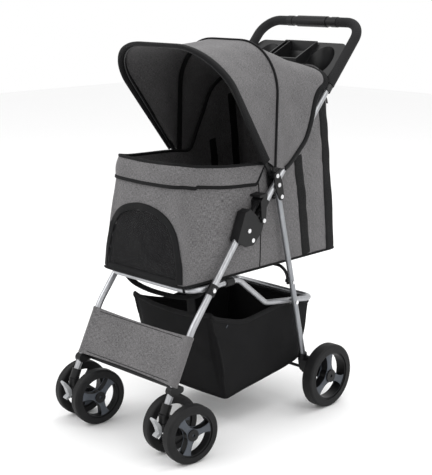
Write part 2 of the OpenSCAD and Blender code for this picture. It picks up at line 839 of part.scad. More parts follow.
// side view of the hem: it rises behind the hinge plates and runs up before the tray
hem_line = [[canopy_pivot[0] - 60, canopy_pivot[1] + 18], [canopy_pivot[0] + 34, canopy_pivot[1] + 18],
    [canopy_pivot[0] + 54, canopy_pivot[1] + 28], [canopy_pivot[0] + 86, canopy_pivot[1] + 56],
    [canopy_pivot[0] + 109, canopy_pivot[1] + 81], [canopy_pivot[0] + 127, canopy_pivot[1] + 122],
    [canopy_pivot[0] + 140, canopy_pivot[1] + 168], [canopy_pivot[0] + 149, canopy_pivot[1] + 188],
    [canopy_pivot[0] + 179, canopy_pivot[1] + 202], [canopy_pivot[0] + 188, canopy_pivot[1] + 216],
    [canopy_pivot[0] + 201, canopy_pivot[1] + 300]];
module canopy_rear() {
    color(cloth) difference() {
        hull() {
            arch_plate(mid_bow_lean + 1.9, mid_bow_half, mid_bow_h, bow_bend, bow_out + cloth_t, 22, 2);
            translate([0, 20, 0]) hem_plate(cloth_t, 700, 4);
        }
        hull() {
            arch_plate(mid_bow_lean - 2, mid_bow_half, mid_bow_h, bow_bend, bow_out, -20, 2);
            arch_plate(mid_bow_lean + 1.9, mid_bow_half, mid_bow_h, bow_bend, bow_out, -20, 4);
            translate([0, 20, 0]) hem_plate(0, 600, 8);
        }
        slab(-frame_w, frame_w) polygon(concat(hem_line, [[canopy_pivot[0] + 400, canopy_pivot[1] + 300],
            [canopy_pivot[0] + 400, 300], [canopy_pivot[0] - 60, 300]]));
        handle_path(handle_r + 1.2);
    }
}

// ---- rear frame ----
module rear_leg() {
    top = rear_pivot + [-sin(rear_lean), cos(rear_lean)] * 9;
    color(steel) difference() {
        straight(at(rear_x, rear_leg_foot), at(rear_x, top), rear_leg_r);
        straight(at(rear_x, rear_leg_foot - (top - rear_leg_foot)), at(rear_x, top * 2 - rear_leg_foot),
            rear_leg_r - tube_wall);
        for (p = [rear_pivot, bar_pivot, bow_foot]) xbar(rear_x - 20, rear_x + 20, p, rivet_r + fit);
    }
}

bow_foot = [rear_leg_y(340), 340];
bow_r = 4;
bow_x = rear_x - rear_leg_r - bow_r - 1;
module floor_bow() {
    z = cabin_floor_z - bow_r - 6;
    y = bow_foot[0] - 6;
    foot = [bow_x, bow_foot[0], bow_foot[1] - 8];
    color(dark) difference() {
        pipe([foot, [bow_x, y, z], [-bow_x, y, z], [-bow_x, foot[1], foot[2]]], bow_r, 30);
        for (left = [true, false]) side(left) xbar(rear_x - 30, rear_x + 30, bow_foot, rivet_r + fit);
    }
}

module rear_rivets() {
    color(steel) for (left = [true, false]) side(left) {
        rivet(bow_x - bow_r - seat, rear_x + rear_leg_r + seat, bow_foot, rivet_r);
        xbar(bar_x + bar_r + gap, rear_x + rear_leg_r, bar_pivot, rivet_r);
        xbar(rear_x + rear_leg_r + seat, rear_x + rear_leg_r + head_t, bar_pivot, head_r);
        difference() {
            xbar(bar_x + bar_r + gap, rear_x - rear_leg_r - seat, bar_pivot, 7);
            xbar(bar_x, rear_x, bar_pivot, rivet_r);
        }
        xbar(bar_x + bar_r + gap, rear_x - rear_leg_r - seat, bar_pivot, rivet_r);
    }
}

module rear_axle() {
    reach = track_w / 2 - 5;
    color(steel) xbar(-reach, reach, axle, axle_d / 2);
}

bracket_in = rear_x - rear_leg_r - 3.5;
bracket_out = rear_wheel_x - rear_wheel_w / 2 - 3;
brake = axle + [4, 34];
module axle_bracket() {
    a = [-sin(rear_lean), cos(rear_lean)];
    color(dark) difference() {
        union() {
            straight(at(rear_x, rear_leg_foot - a * 5), at(rear_x, rear_leg_foot + a * 46),
                rear_leg_r + 3.5);
            slab(bracket_in, bracket_out) hull() {
                disc(axle, 13, $fn = 32);
                disc(rear_leg_foot + a * 4, rear_leg_r + 3.5, $fn = 32);
                disc(rear_leg_foot + a * 30, rear_leg_r + 3.5, $fn = 32);
            }
            slab(bracket_out - 17, bracket_out) hull() {
                disc(axle + [0, 4], 10, $fn = 32);
                disc(brake, 8, $fn = 32);
            }
        }
        straight(at(rear_x, rear_leg_foot), at(rear_x, rear_leg_foot + a * 120), rear_leg_r + seat);
        xbar(0, rear_wheel_x, axle, axle_d / 2 + fit);
        slab(bracket_out - 17 + 4, bracket_out - 4) {
            disc(brake, 12);
            translate([brake[0] - 2, brake[1] - 12]) square([40, 40]);
        }
        xbar(0, rear_wheel_x, brake, 2.5 + fit);
    }
}
module brake_pedal() {
    x0 = bracket_out - 17 + 4 + gap;
    x1 = bracket_out - 4 - gap;
    color(dark) {
        slab(x0, x1) {
            difference() {
                hull() {
                    disc(brake, 7, $fn = 32);
                    disc(brake + [30, 8], 4, $fn = 32);
                }
                disc(brake, 2.5 - fit);
            }
        }
        slab(x0 - 8, x1 + 5) hull() {
            disc(brake + [26, 9], 4, $fn = 32);
            disc(brake + [46, 11], 4, $fn = 32);
        }
        xbar(bracket_out - 17, bracket_out, brake, 2.5);
    }
}

// ---- basket bar, basket and cabin ----
bar_fall = [leg_pivot[0] + bar_level, bar_z];
bar_slope = (bar_pivot[1] + 12 - bar_z) / -0.81;
bar_low = [bar_fall[0] + bar_slope, bar_pivot[1] + (bar_pivot[0] - bar_fall[0] - bar_slope) * 0.135];
bar_tail = [bar_rear_y, bar_pivot[1] - (bar_rear_y - bar_pivot[0]) * 0.135];
bar_head = [leg_pivot[0] - bar_front, bar_z];
module basket_bar() {
    half = [at(bar_x, bar_tail), at(bar_x, bar_low), at(bar_x, bar_fall), at(bar_x, bar_head)];
    other = [for (i = [3:-1:0]) [-half[i][0], half[i][1], half[i][2]]];
    loop = concat(half, other);
    color(steel) difference() {
        ring(loop, bar_r, bar_bend);
        ring(loop, bar_r - tube_wall, bar_bend);
        for (left = [true, false]) side(left) xbar(bar_x - 20, bar_x + 20, leg_pivot, pin_r + fit);
    }
}
module bar_clips() {
    c = leg_pivot[0] + 74;
    color(dark) for (left = [true, false]) side(left) difference() {
        straight([bar_x, c - 13, bar_z], [bar_x, c + 13, bar_z], bar_r + 3);
        straight([bar_x, c - 20, bar_z], [bar_x, c + 20, bar_z], bar_r + seat);
    }
}

// a box with sloping sides: each corner list is [half width, y, z]
module loft(corners, o) {
    hull() for (c = corners, s = [-1, 1]) translate([s * (c[0] - o), c[1], c[2]]) sphere(0.1, $fn = 5);
}

basket_rear_y = bar_rear_y - bar_r - 2;
basket_rear_z = bar_tail[1] - 4;
module basket() {
    f = basket_floor_w / 2;
    t = basket_w / 2;
    front = [basket_front_y, basket_front_z];
    low = [basket_front_y + 55, basket_low_z];
    rise = [basket_rear_y - 32, basket_low_z + 42];
    rear = [basket_rear_y, basket_rear_z];
    color(dark) difference() {
        loft([[f, low[0], low[1]], [f, rise[0], rise[1]], [t, rear[0], rear[1]], [t, front[0], front[1]],
            [t, bar_low[0], bar_low[1] + 6]], 0);
        loft([[f, low[0] + cloth_t, low[1] + cloth_t], [f, rise[0] - cloth_t, rise[1] + cloth_t],
            [t, rear[0] - cloth_t, rear[1] + 40], [t, front[0] + cloth_t - 9, front[1] + 40]], cloth_t);
        // the sides dip between the front corner and the bar
        slab(-t - 5, t + 5) polygon([[front[0] + 8, front[1] + 90], [front[0] + 8, front[1] - 6],
            [front[0] + 60, front[1] - 34],
            [front[0] + 115, front[1] - 38], [bar_low[0] - 4, bar_low[1] - 12], [rear[0] + 5,
                bar_tail[1] - 6],
            [rear[0] + 5, front[1] + 90]]);
    }
}

cabin_high = [cabin_front_y + 22, rim_z];
cabin_back = [handle_y(rear_top_z) + 40, rear_top_z];
module cabin_body(o, up) {
    f = cabin_w / 2;
    z0 = cabin_floor_z;
    loft([[f - 2, cabin_front_y + o, z0 + o], [f, cabin_rear_y - 13 - o, z0 + o], [f, cabin_rear_y - o,
        z0 + 25],
        [cabin_top_w / 2, cabin_high[0] + o, cabin_high[1] + up],
        [f + 3, canopy_pivot[0] - 60, canopy_pivot[1] + 30 + up], [f + 3, cabin_back[0] - o,
            cabin_back[1] + up]], o);
}
// the rim runs level from the front, dips at the hinge plates and rises to the handle
rim_pts = [[cabin_high[0] - 40, rim_z], [cabin_high[0], rim_z], [canopy_pivot[0] - 25, rim_z - 19],
    [canopy_pivot[0] + 42, canopy_pivot[1] + 4], [canopy_pivot[0] + 111, canopy_pivot[1] + 46],
    [canopy_pivot[0] + 152, rear_top_z - 55], [canopy_pivot[0] + 166, rear_top_z], [cabin_back[0] + 60,
        rear_top_z],
    [cabin_back[0] + 60, rear_top_z + 300], [cabin_high[0] - 40, rear_top_z + 300]];
module cabin() {
    color(cloth) difference() {
        cabin_body(0, 0);
        cabin_body(cloth_t, 8);
        slab(-leg_x, leg_x) polygon(rim_pts);
    }
}
module floor_board() {
    w = cabin_w - 2 * cloth_t - 8;
    color(rubber) translate([-w / 2, cabin_front_y + 12, cabin_floor_z + cloth_t + gap])
        cube([w, cabin_rear_y - cabin_front_y - 36, board_t]);
}

side(true) front_leg();  // front_leg_left
side(false) front_leg();  // front_leg_right
side(true) fold_housing();  // fold_housing_left
side(false) fold_housing();  // fold_housing_right
front_pins();
side(true) caster_socket();  // caster_socket_left
side(false) caster_socket();  // caster_socket_right
front_crossbar();
footrest_flap();
side(true) bar_bracket();  // bar_bracket_left
side(false) bar_bracket();  // bar_bracket_right
caster_side(true) caster_fork();  // caster_fork_left
caster_side(false) caster_fork();  // caster_fork_right
caster_side(true) caster_pins();  // caster_pins_left
caster_side(false) caster_pins();  // caster_pins_right
caster_side(true) swivel_lock();  // swivel_lock_left
caster_side(false) swivel_lock();  // swivel_lock_right
front_tyre(true, true);  // front_tyre_left_outer
front_tyre(true, false);  // front_tyre_left_inner
front_tyre(false, true);  // front_tyre_right_outer
front_tyre(false, false);  // front_tyre_right_inner
front_hub(true, true);  // front_hub_left_outer
front_hub(true, false);  // front_hub_left_inner
front_hub(false, true);  // front_hub_right_outer
front_hub(false, false);  // front_hub_right_inner
rear_wheel_place(true) tyre(rear_wheel_d, rear_wheel_w);  // rear_tyre_left
rear_wheel_place(false) tyre(rear_wheel_d, rear_wheel_w);  // rear_tyre_right
rear_wheel_place(true) hub(rear_wheel_d, rear_wheel_w, axle_d / 2, rear_phase);  // rear_hub_left
rear_wheel_place(false) hub(rear_wheel_d, rear_wheel_w, axle_d / 2, rear_phase);  // rear_hub_right
handle_tube();
side(true) fold_knuckle();  // fold_knuckle_left
side(false) fold_knuckle();  // fold_knuckle_right
handle_rivets();
side(true) hinge_plate();  // hinge_plate_left
side(false) hinge_plate();  // hinge_plate_right
foam_grips();
grip_cover();
cup_tray();
side(true) latch_lever();  // latch_lever_left
side(false) latch_lever();  // latch_lever_right
canopy_mid_bow();
canopy_front_bow();
canopy_arms();
canopy_front();
canopy_rear();
side(true) rear_leg();  // rear_leg_left
side(false) rear_leg();  // rear_leg_right
floor_bow();
rear_axle();
side(true) axle_bracket();  // axle_bracket_left
side(false) axle_bracket();  // axle_bracket_right
rear_rivets();
side(true) brake_pedal();  // brake_pedal_left
side(false) brake_pedal();  // brake_pedal_right
basket_bar();
bar_clips();
basket();
cabin();
floor_board();
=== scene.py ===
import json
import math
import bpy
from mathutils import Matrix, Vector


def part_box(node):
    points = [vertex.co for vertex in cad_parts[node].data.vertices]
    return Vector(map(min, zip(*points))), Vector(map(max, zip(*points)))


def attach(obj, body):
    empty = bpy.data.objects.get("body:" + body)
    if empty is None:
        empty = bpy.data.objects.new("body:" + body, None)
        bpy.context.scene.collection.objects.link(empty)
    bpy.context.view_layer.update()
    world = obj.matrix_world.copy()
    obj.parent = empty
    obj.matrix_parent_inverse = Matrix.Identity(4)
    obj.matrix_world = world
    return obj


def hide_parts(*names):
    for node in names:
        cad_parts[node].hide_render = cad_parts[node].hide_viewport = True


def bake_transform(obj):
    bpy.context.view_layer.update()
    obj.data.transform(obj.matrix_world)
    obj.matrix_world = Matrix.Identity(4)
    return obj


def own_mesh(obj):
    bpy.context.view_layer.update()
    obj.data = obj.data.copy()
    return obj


bl_info = {
    "name": "Pet Stroller",
    "version": (1, 0, 0),
    "blender": (4, 5, 0),
    "location": "View3D > Sidebar > Stroller",
    "description": "Soft goods, trims, finishes and studio for a folding pet stroller",
    "category": "Object",
}

import bpy
from mathutils import Matrix, Vector, noise

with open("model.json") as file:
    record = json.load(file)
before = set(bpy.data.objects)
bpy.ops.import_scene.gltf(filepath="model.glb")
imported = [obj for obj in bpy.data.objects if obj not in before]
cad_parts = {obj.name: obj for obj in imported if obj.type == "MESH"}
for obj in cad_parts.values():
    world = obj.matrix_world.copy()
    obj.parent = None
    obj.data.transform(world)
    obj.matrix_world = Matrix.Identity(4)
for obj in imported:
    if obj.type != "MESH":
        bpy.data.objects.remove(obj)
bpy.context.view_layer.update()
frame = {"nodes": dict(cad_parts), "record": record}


# ---- places taken from the frame ----

def joint_at(name):
    """Where a joint turns, in metres."""
    for joint in frame["record"]["behaviour"]["joints"]:
        if joint["name"] == name:
            return Vector(joint["pos_m"])
    raise RuntimeError("no joint called " + name)


def mm(*values):
    """A point given in millimetres."""
    return Vector(values) / 1000


canopy_hub = joint_at("canopy_mid_fold")
leg_x = joint_at("swivel_left").x


# ---- modelling helpers ----

def nothing_selected():
    if bpy.context.object and bpy.context.object.mode != "OBJECT":
        bpy.ops.object.mode_set(mode="OBJECT")
    bpy.ops.object.select_all(action="DESELECT")


def pick(piece):
    nothing_selected()
    piece.select_set(True)
    bpy.context.view_layer.objects.active = piece


def cloth_grid(name, across, along, place, flat):
    """A grid whose points are laid on a surface; flat is its cut size in metres, for the weave."""
    nothing_selected()
    bpy.ops.mesh.primitive_grid_add(x_subdivisions=across, y_subdivisions=along, size=2, location=(0, 0, 0))
    piece = bpy.context.object
    piece.name = piece.data.name = name
    for vertex in piece.data.vertices:
        vertex.co = place((vertex.co.x + 1) / 2, (vertex.co.y + 1) / 2)
    for corner in piece.data.uv_layers.active.data:
        corner.uv = (corner.uv[0] * flat[0], corner.uv[1] * flat[1])
    return piece


def weld(piece, distance=0.00005):
    pick(piece)
    bpy.ops.object.mode_set(mode="EDIT")
    bpy.ops.mesh.select_all(action="SELECT")
    bpy.ops.mesh.remove_doubles(threshold=distance)
    bpy.ops.object.mode_set(mode="OBJECT")


def point_outwards(piece):
    pick(piece)
    bpy.ops.object.mode_set(mode="EDIT")
    bpy.ops.mesh.select_all(action="SELECT")
    bpy.ops.mesh.normals_make_consistent(inside=False)
    bpy.ops.object.mode_set(mode="OBJECT")


def finish_modifier(piece, kind, **settings):
    pick(piece)
    bpy.ops.object.modifier_add(type=kind)
    modifier = piece.modifiers[-1]
    for key, value in settings.items():
        setattr(modifier, key, value)
    bpy.ops.object.modifier_apply(modifier=modifier.name)


def thicken(piece, thickness, lining=0, even=False):
    """Gives a sheet its thickness on its inner side."""
    finish_modifier(piece, "SOLIDIFY", thickness=thickness, offset=-1, material_offset=lining,
                    material_offset_rim=0, use_even_offset=even)


def smooth(piece, angle=40):
    pick(piece)
    bpy.ops.object.shade_smooth_by_angle(angle=math.radians(angle))


def curve_through(points, count, closed=False):
    """A smooth curve through the points, as evenly spaced points."""
    n = len(points)
    fine = []
    spans = n if closed else n - 1
    for i in range(spans):
        if closed:
            a, b, c, d = (points[(i + k) % n] for k in (-1, 0, 1, 2))
        else:
            a, b, c, d = points[max(i - 1, 0)], points[i], points[i + 1], points[min(i + 2, n - 1)]
        fine += [spline_between(a, b, c, d, k / 16) for k in range(16)]
    fine.append(points[0] if closed else points[-1])
    return evenly(fine, count)


def spline_between(a, b, c, d, t):
    """A point between b and c, with a and d as their outer neighbours."""
    return 0.5 * ((2 * b) + (c - a) * t + (2 * a - 5 * b + 4 * c - d) * t * t
                  + (3 * b - a - 3 * c + d) * t ** 3)


def spline_at(points, k, t):
    """A point on the curve's span k."""
    last = len(points) - 1
    return spline_between(points[max(k - 1, 0)], points[k], points[k + 1], points[min(k + 2, last)], t)


def station_at(points, s):
    """A point at s spans along the curve."""
    k = min(int(s + 1e-6), len(points) - 2)
    return spline_at(points, k, s - k)


def evenly(points, count):
    """The same path as count + 1 evenly spaced points."""
    lengths = [0.0]
    for a, b in zip(points, points[1:]):
        lengths.append(lengths[-1] + (b - a).length)
    out, j = [], 0
    for i in range(count + 1):
        want = lengths[-1] * i / count
        while j < len(points) - 2 and lengths[j + 1] < want:
            j += 1
        span = max(lengths[j + 1] - lengths[j], 1e-9)
        out.append(points[j].lerp(points[j + 1], min(1, (want - lengths[j]) / span)))
    return out


def path_length(points):
    return sum((b - a).length for a, b in zip(points, points[1:]))


def mirrored(points):
    """The points on the other side of the stroller, in the other order."""
    return [Vector((-p.x, p.y, p.z)) for p in reversed(points)]


def whole_loop(half):
    """A closed outline from its left half, whose ends lie in the middle."""
    return half + mirrored(half[1:-1])


def face_up(i, point):
    """The way a tape looks that lies flat, for strip()."""
    return Vector((0, 0, 1))


def strip(name, path, width, thick, face, closed=False, around=10, square=3.0):
    """A tape or piping along a path; face(i, point) is the way its flat side looks."""
    count = len(path) - 1
    rings = []
    for i, point in enumerate(path):
        if closed:
            ahead, behind = path[(i + 1) % count], path[(i - 1) % count]
        else:
            ahead, behind = path[min(i + 1, count)], path[max(i - 1, 0)]
        run = (ahead - behind).normalized()
        out = face(i, point)
        side = run.cross(out).normalized()
        out = side.cross(run).normalized()
        ring = []
        for k in range(around):
            a = 2 * math.pi * k / around
            c, s = math.cos(a), math.sin(a)
            power = 2 / square
            ring.append(point + side * (width / 2) * math.copysign(abs(c) ** power, c)
                        + out * (thick / 2) * math.copysign(abs(s) ** power, s))
        rings.append(ring)
    piece = cloth_grid(name, count, around, lambda u, v: rings[round(u * count)][round(v * around) % around],
                       (path_length(path), 2 * (width + thick)))
    weld(piece)
    if not closed:
        cap_ends(piece)
    point_outwards(piece)
    smooth(piece, 50)
    return piece


def cap_ends(piece):
    pick(piece)
    bpy.ops.object.mode_set(mode="EDIT")
    bpy.ops.mesh.select_mode(type="EDGE")
    bpy.ops.mesh.select_all(action="DESELECT")
    bpy.ops.mesh.select_non_manifold()
    bpy.ops.mesh.edge_face_add()
    bpy.ops.mesh.select_mode(type="VERT")
    bpy.ops.object.mode_set(mode="OBJECT")


def lay_on(ground, path, proud):
    """The path moved onto a surface, with the way the surface faces at each point."""
    points, ways = [], []
    for point in path:
        hit, place, normal, _ = ground.closest_point_on_mesh(point)
        if not hit:
            raise RuntimeError("nothing under " + ground.name)
        points.append(place + normal * proud)
        ways.append(normal)
    return points, ways


def tape_on(name, ground, path, width, thick, proud=0.0, closed=False, square=4.0):
    points, ways = lay_on(ground, path, proud)
    if closed:
        points[-1], ways[-1] = points[0], ways[0]
    smoothed = list(ways)
    for i in range(len(ways)):
        near = [ways[j % (len(ways) - 1)] if closed else ways[max(0, min(len(ways) - 1, j))]
                for j in range(i - 2, i + 3)]
        smoothed[i] = sum(near, Vector()).normalized()
    return strip(name, points, width, thick, lambda i, p: smoothed[i], closed, square=square)


def ripple(point, size, depth, seed=0.0):
    """A soft unevenness of cloth, the same on every run."""
    return depth * noise.noise(Vector((point.x / size + seed, point.y / size - seed, point.z / size)))


# ---- finishes ----

def finish_nodes(name):
    material = bpy.data.materials.new(name)
    material.use_nodes = True
    nodes, links = material.node_tree.nodes, material.node_tree.links
    shader = nodes["Principled BSDF"]
    return material, nodes, links, shader


def mottle(nodes, links, coords, stretch, scale, detail=3.0, rough=0.6):
    mapping = nodes.new("ShaderNodeMapping")
    mapping.inputs["Scale"].default_value = stretch
    links.new(coords, mapping.inputs["Vector"])
    cloud = nodes.new("ShaderNodeTexNoise")
    cloud.inputs["Scale"].default_value = scale
    cloud.inputs["Detail"].default_value = detail
    cloud.inputs["Roughness"].default_value = rough
    links.new(mapping.outputs[0], cloud.inputs["Vector"])
    return cloud.outputs["Fac"]


def ramp(nodes, links, value, low, high, at=(0.3, 0.7)):
    blend = nodes.new("ShaderNodeValToRGB")
    blend.color_ramp.elements[0].position, blend.color_ramp.elements[1].position = at
    blend.color_ramp.elements[0].color = (*low, 1)
    blend.color_ramp.elements[1].color = (*high, 1)
    links.new(value, blend.inputs[0])
    return blend.outputs[0]


def spread(nodes, links, value, low, high):
    span = nodes.new("ShaderNodeMapRange")
    span.inputs["From Min"].default_value, span.inputs["From Max"].default_value = 0.25, 0.75
    span.inputs["To Min"].default_value, span.inputs["To Max"].default_value = low, high
    links.new(value, span.inputs["Value"])
    return span.outputs[0]


def combine(nodes, links, kind, a, b):
    node = nodes.new("ShaderNodeMath")
    node.operation = kind
    for socket, value in zip(node.inputs, (a, b)):
        if isinstance(value, (int, float)):
            socket.default_value = value
        else:
            links.new(value, socket)
    return node.outputs[0]


def relief(nodes, links, shader, height, strength, distance):
    bump = nodes.new("ShaderNodeBump")
    bump.inputs["Strength"].default_value = strength
    bump.inputs["Distance"].default_value = distance
    links.new(height, bump.inputs["Height"])
    links.new(bump.outputs[0], shader.inputs["Normal"])


def waves(nodes, links, coords, direction, scale, distortion=0.0):
    wave = nodes.new("ShaderNodeTexWave")
    wave.bands_direction = direction
    wave.inputs["Scale"].default_value = scale
    wave.inputs["Distortion"].default_value = distortion
    links.new(coords, wave.inputs["Vector"])
    return wave.outputs["Fac"]


def woven(name, low, high, pitch=0.0011, melange=1.0, sheen=0.12, roughness=0.86):
    """Plain-woven cloth: streaked warp and weft threads on the piece's own flat coordinates."""
    material, nodes, links, shader = finish_nodes(name)
    coords = nodes.new("ShaderNodeTexCoord").outputs["UV"]
    warp = mottle(nodes, links, coords, (1, 0.16, 1), 900, 2.0)
    weft = mottle(nodes, links, coords, (0.16, 1, 1), 900, 2.0)
    streaks = combine(nodes, links, "ADD", combine(nodes, links, "MULTIPLY", warp, 0.5),
                      combine(nodes, links, "MULTIPLY", weft, 0.5))
    patches = mottle(nodes, links, coords, (1, 1, 1), 14, 3.0)
    tone = combine(nodes, links, "ADD", combine(nodes, links, "MULTIPLY", streaks, 0.78 * melange + 0.1),
                   combine(nodes, links, "MULTIPLY", patches, 0.9 - 0.78 * melange))
    links.new(ramp(nodes, links, tone, low, high, (0.36, 0.62)), shader.inputs["Base Color"])
    threads = combine(nodes, links, "MULTIPLY", waves(nodes, links, coords, "X", 0.5 / pitch),
                      waves(nodes, links, coords, "Y", 0.5 / pitch))
    height = combine(nodes, links, "ADD", combine(nodes, links, "MULTIPLY", threads, 0.6),
                     combine(nodes, links, "MULTIPLY", streaks, 0.6))
    relief(nodes, links, shader, height, 0.5, 0.0004)
    links.new(spread(nodes, links, patches, roughness - 0.06, roughness + 0.06), shader.inputs["Roughness"])
    shader.inputs["Sheen Weight"].default_value = sheen
    shader.inputs["Sheen Roughness"].default_value = 0.5
    shader.inputs["Specular IOR Level"].default_value = 0.12
    return material


def tape_weave(name, low, high):
    """Ribbed edge tape."""
    material, nodes, links, shader = finish_nodes(name)
    coords = nodes.new("ShaderNodeTexCoord").outputs["UV"]
    ribs = waves(nodes, links, coords, "X", 320, 0.6)
    tone = mottle(nodes, links, coords, (1, 1, 1), 260)
    links.new(ramp(nodes, links, tone, low, high), shader.inputs["Base Color"])
    relief(nodes, links, shader, ribs, 0.6, 0.0004)
    links.new(spread(nodes, links, tone, 0.62, 0.8), shader.inputs["Roughness"])
    shader.inputs["Sheen Weight"].default_value = 0.02
    shader.inputs["Specular IOR Level"].default_value = 0.14
    return material


def window_net(name):
    """Black knitted net that lets some light through."""
    material, nodes, links, shader = finish_nodes(name)
    coords = nodes.new("ShaderNodeTexCoord").outputs["UV"]
    holes = combine(nodes, links, "MULTIPLY", waves(nodes, links, coords, "X", 220),
                    waves(nodes, links, coords, "Y", 220))
    tone = ramp(nodes, links, holes, (0.006, 0.006, 0.0065), (0.016, 0.016, 0.017))
    links.new(tone, shader.inputs["Base Color"])
    links.new(spread(nodes, links, holes, 0.93, 0.55), shader.inputs["Alpha"])
    shader.inputs["Specular IOR Level"].default_value = 0.12
    links.new(spread(nodes, links, holes, 0.6, 0.8), shader.inputs["Roughness"])
    relief(nodes, links, shader, holes, 0.4, 0.0005)
    return material


def metal(name, low, high, roughness, scratches=0.04):
    material, nodes, links, shader = finish_nodes(name)
    coords = nodes.new("ShaderNodeTexCoord").outputs["Object"]
    tone = mottle(nodes, links, coords, (1, 1, 0.15), 120)
    links.new(ramp(nodes, links, tone, low, high), shader.inputs["Base Color"])
    wear = mottle(nodes, links, coords, (1, 1, 1), 30, 6.0)
    links.new(spread(nodes, links, wear, roughness - scratches, roughness + scratches * 2),
              shader.inputs["Roughness"])
    relief(nodes, links, shader, mottle(nodes, links, coords, (1, 1, 0.1), 900), 0.08, 0.0002)
    shader.inputs["Metallic"].default_value = 0.85
    return material


def moulded(name, low, high, roughness, grain=900, depth=0.15, gloss=0.24, coat=0.0):
    """Moulded plastic with a fine spark grain and slightly worn gloss."""
    material, nodes, links, shader = finish_nodes(name)
    coords = nodes.new("ShaderNodeTexCoord").outputs["Object"]
    tone = mottle(nodes, links, coords, (1, 1, 1), 25, 4.0)
    links.new(ramp(nodes, links, tone, low, high), shader.inputs["Base Color"])
    links.new(spread(nodes, links, tone, roughness - 0.06, roughness + 0.08), shader.inputs["Roughness"])
    relief(nodes, links, shader, mottle(nodes, links, coords, (1, 1, 1), grain, 2.0), depth, 0.0003)
    shader.inputs["Specular IOR Level"].default_value = gloss
    shader.inputs["Coat Weight"].default_value = coat
    shader.inputs["Coat Roughness"].default_value = 0.2
    return material


def foam_rubber(name):
    """Soft closed-cell foam with slanting moulded ridges."""
    material, nodes, links, shader = finish_nodes(name)
    coords = nodes.new("ShaderNodeTexCoord").outputs["Object"]
    mapping = nodes.new("ShaderNodeMapping")
    mapping.inputs["Rotation"].default_value = (math.radians(20), math.radians(35), 0)
    links.new(coords, mapping.inputs["Vector"])
    ridges = waves(nodes, links, mapping.outputs[0], "Z", 55, 0.4)
    cells = mottle(nodes, links, coords, (1, 1, 1), 1400, 2.0)
    tone = ramp(nodes, links, cells, (0.009, 0.009, 0.0095), (0.022, 0.022, 0.023))
    links.new(tone, shader.inputs["Base Color"])
    relief(nodes, links, shader, combine(nodes, links, "ADD", combine(nodes, links, "MULTIPLY", ridges, 1.0),
                                         combine(nodes, links, "MULTIPLY", cells, 0.5)), 0.35, 0.0008)
    links.new(spread(nodes, links, cells, 0.75, 0.9), shader.inputs["Roughness"])
    shader.inputs["Specular IOR Level"].default_value = 0.18
    return material


def tyre_rubber(name):
    """Moulded tyre: fine circumferential lines on the tread and a dull bloom."""
    material, nodes, links, shader = finish_nodes(name)
    coords = nodes.new("ShaderNodeTexCoord").outputs["Object"]
    bloom = mottle(nodes, links, coords, (1, 1, 1), 40, 5.0)
    grain = mottle(nodes, links, coords, (1, 1, 1), 700, 2.0)
    tone = ramp(nodes, links, bloom, (0.005, 0.005, 0.0055), (0.013, 0.013, 0.0135))
    links.new(tone, shader.inputs["Base Color"])
    ribs = waves(nodes, links, coords, "X", 90)
    height = combine(nodes, links, "ADD", ribs, combine(nodes, links, "MULTIPLY", grain, 0.6))
    relief(nodes, links, shader, height, 0.3, 0.0006)
    links.new(spread(nodes, links, bloom, 0.5, 0.72), shader.inputs["Roughness"])
    shader.inputs["Specular IOR Level"].default_value = 0.2
    return material


finishes = {}


def build_finishes(colours):
    grey, dark = tuple(colours.cloth), tuple(colours.trim)
    plastic, insert = tuple(colours.plastic), tuple(colours.insert)

    def shade(colour, k):
        return tuple(min(1, c * k) for c in colour)

    finishes.update(
        cloth=woven("grey_heather_cloth", shade(grey, 0.4), shade(grey, 1.85)),
        # The lining is the same heather cloth made darker: painted shade for the inside faces.
        lining=woven("shaded_heather_lining", shade(grey, 0.3), shade(grey, 1.3), sheen=0.05),
        nylon=woven("black_nylon_cloth", shade(dark, 0.6), shade(dark, 1.5), 0.0009, 0.6, 0.012, 0.7),
        tape=tape_weave("black_edge_tape", shade(dark, 0.6), shade(dark, 1.4)),
        net=window_net("black_window_net"),
        tube=metal("lacquered_tube", (0.33, 0.335, 0.35), (0.43, 0.435, 0.45), 0.3),
        # The rear legs get a darker copy of the tube metal: painted shade.
        leg_tube=metal("shaded_rear_tube", (0.24, 0.25, 0.265), (0.32, 0.33, 0.345), 0.38),
        rivet=metal("plated_rivet", (0.62, 0.62, 0.63), (0.82, 0.82, 0.83), 0.25),
        rod=moulded("painted_rod", shade(dark, 0.8), shade(dark, 1.6), 0.4),
        plastic=moulded("black_nylon_plastic", shade(plastic, 0.7), shade(plastic, 1.5), 0.42),
        gloss=moulded("tray_plastic", shade(plastic, 0.8), shade(plastic, 1.6), 0.33, 1200, 0.08, 0.5),
        insert=moulded("slate_insert_plastic", shade(insert, 0.8), shade(insert, 1.2), 0.4),
        lever=moulded("pale_lever_plastic", (0.3, 0.31, 0.32), (0.42, 0.43, 0.44), 0.4),
        foam=foam_rubber("grip_foam"),
        tyre=tyre_rubber("tyre_rubber"),
        board=woven("board_cover", shade(dark, 0.8), shade(dark, 2.0)),
    )


def dress(piece, *names):
    piece.data.materials.clear()
    for name in names:
        piece.data.materials.append(finishes[name])


def settled(piece, body, slot, *replaced):
    """Says what a piece rides on and stands for; a blended piece rides on nothing. The slot it is given is
    not used.
    """
    if body:
        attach(piece, body)
    if replaced:
        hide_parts(*replaced)
    return piece


# ---- sizes and colours that a user would change ----

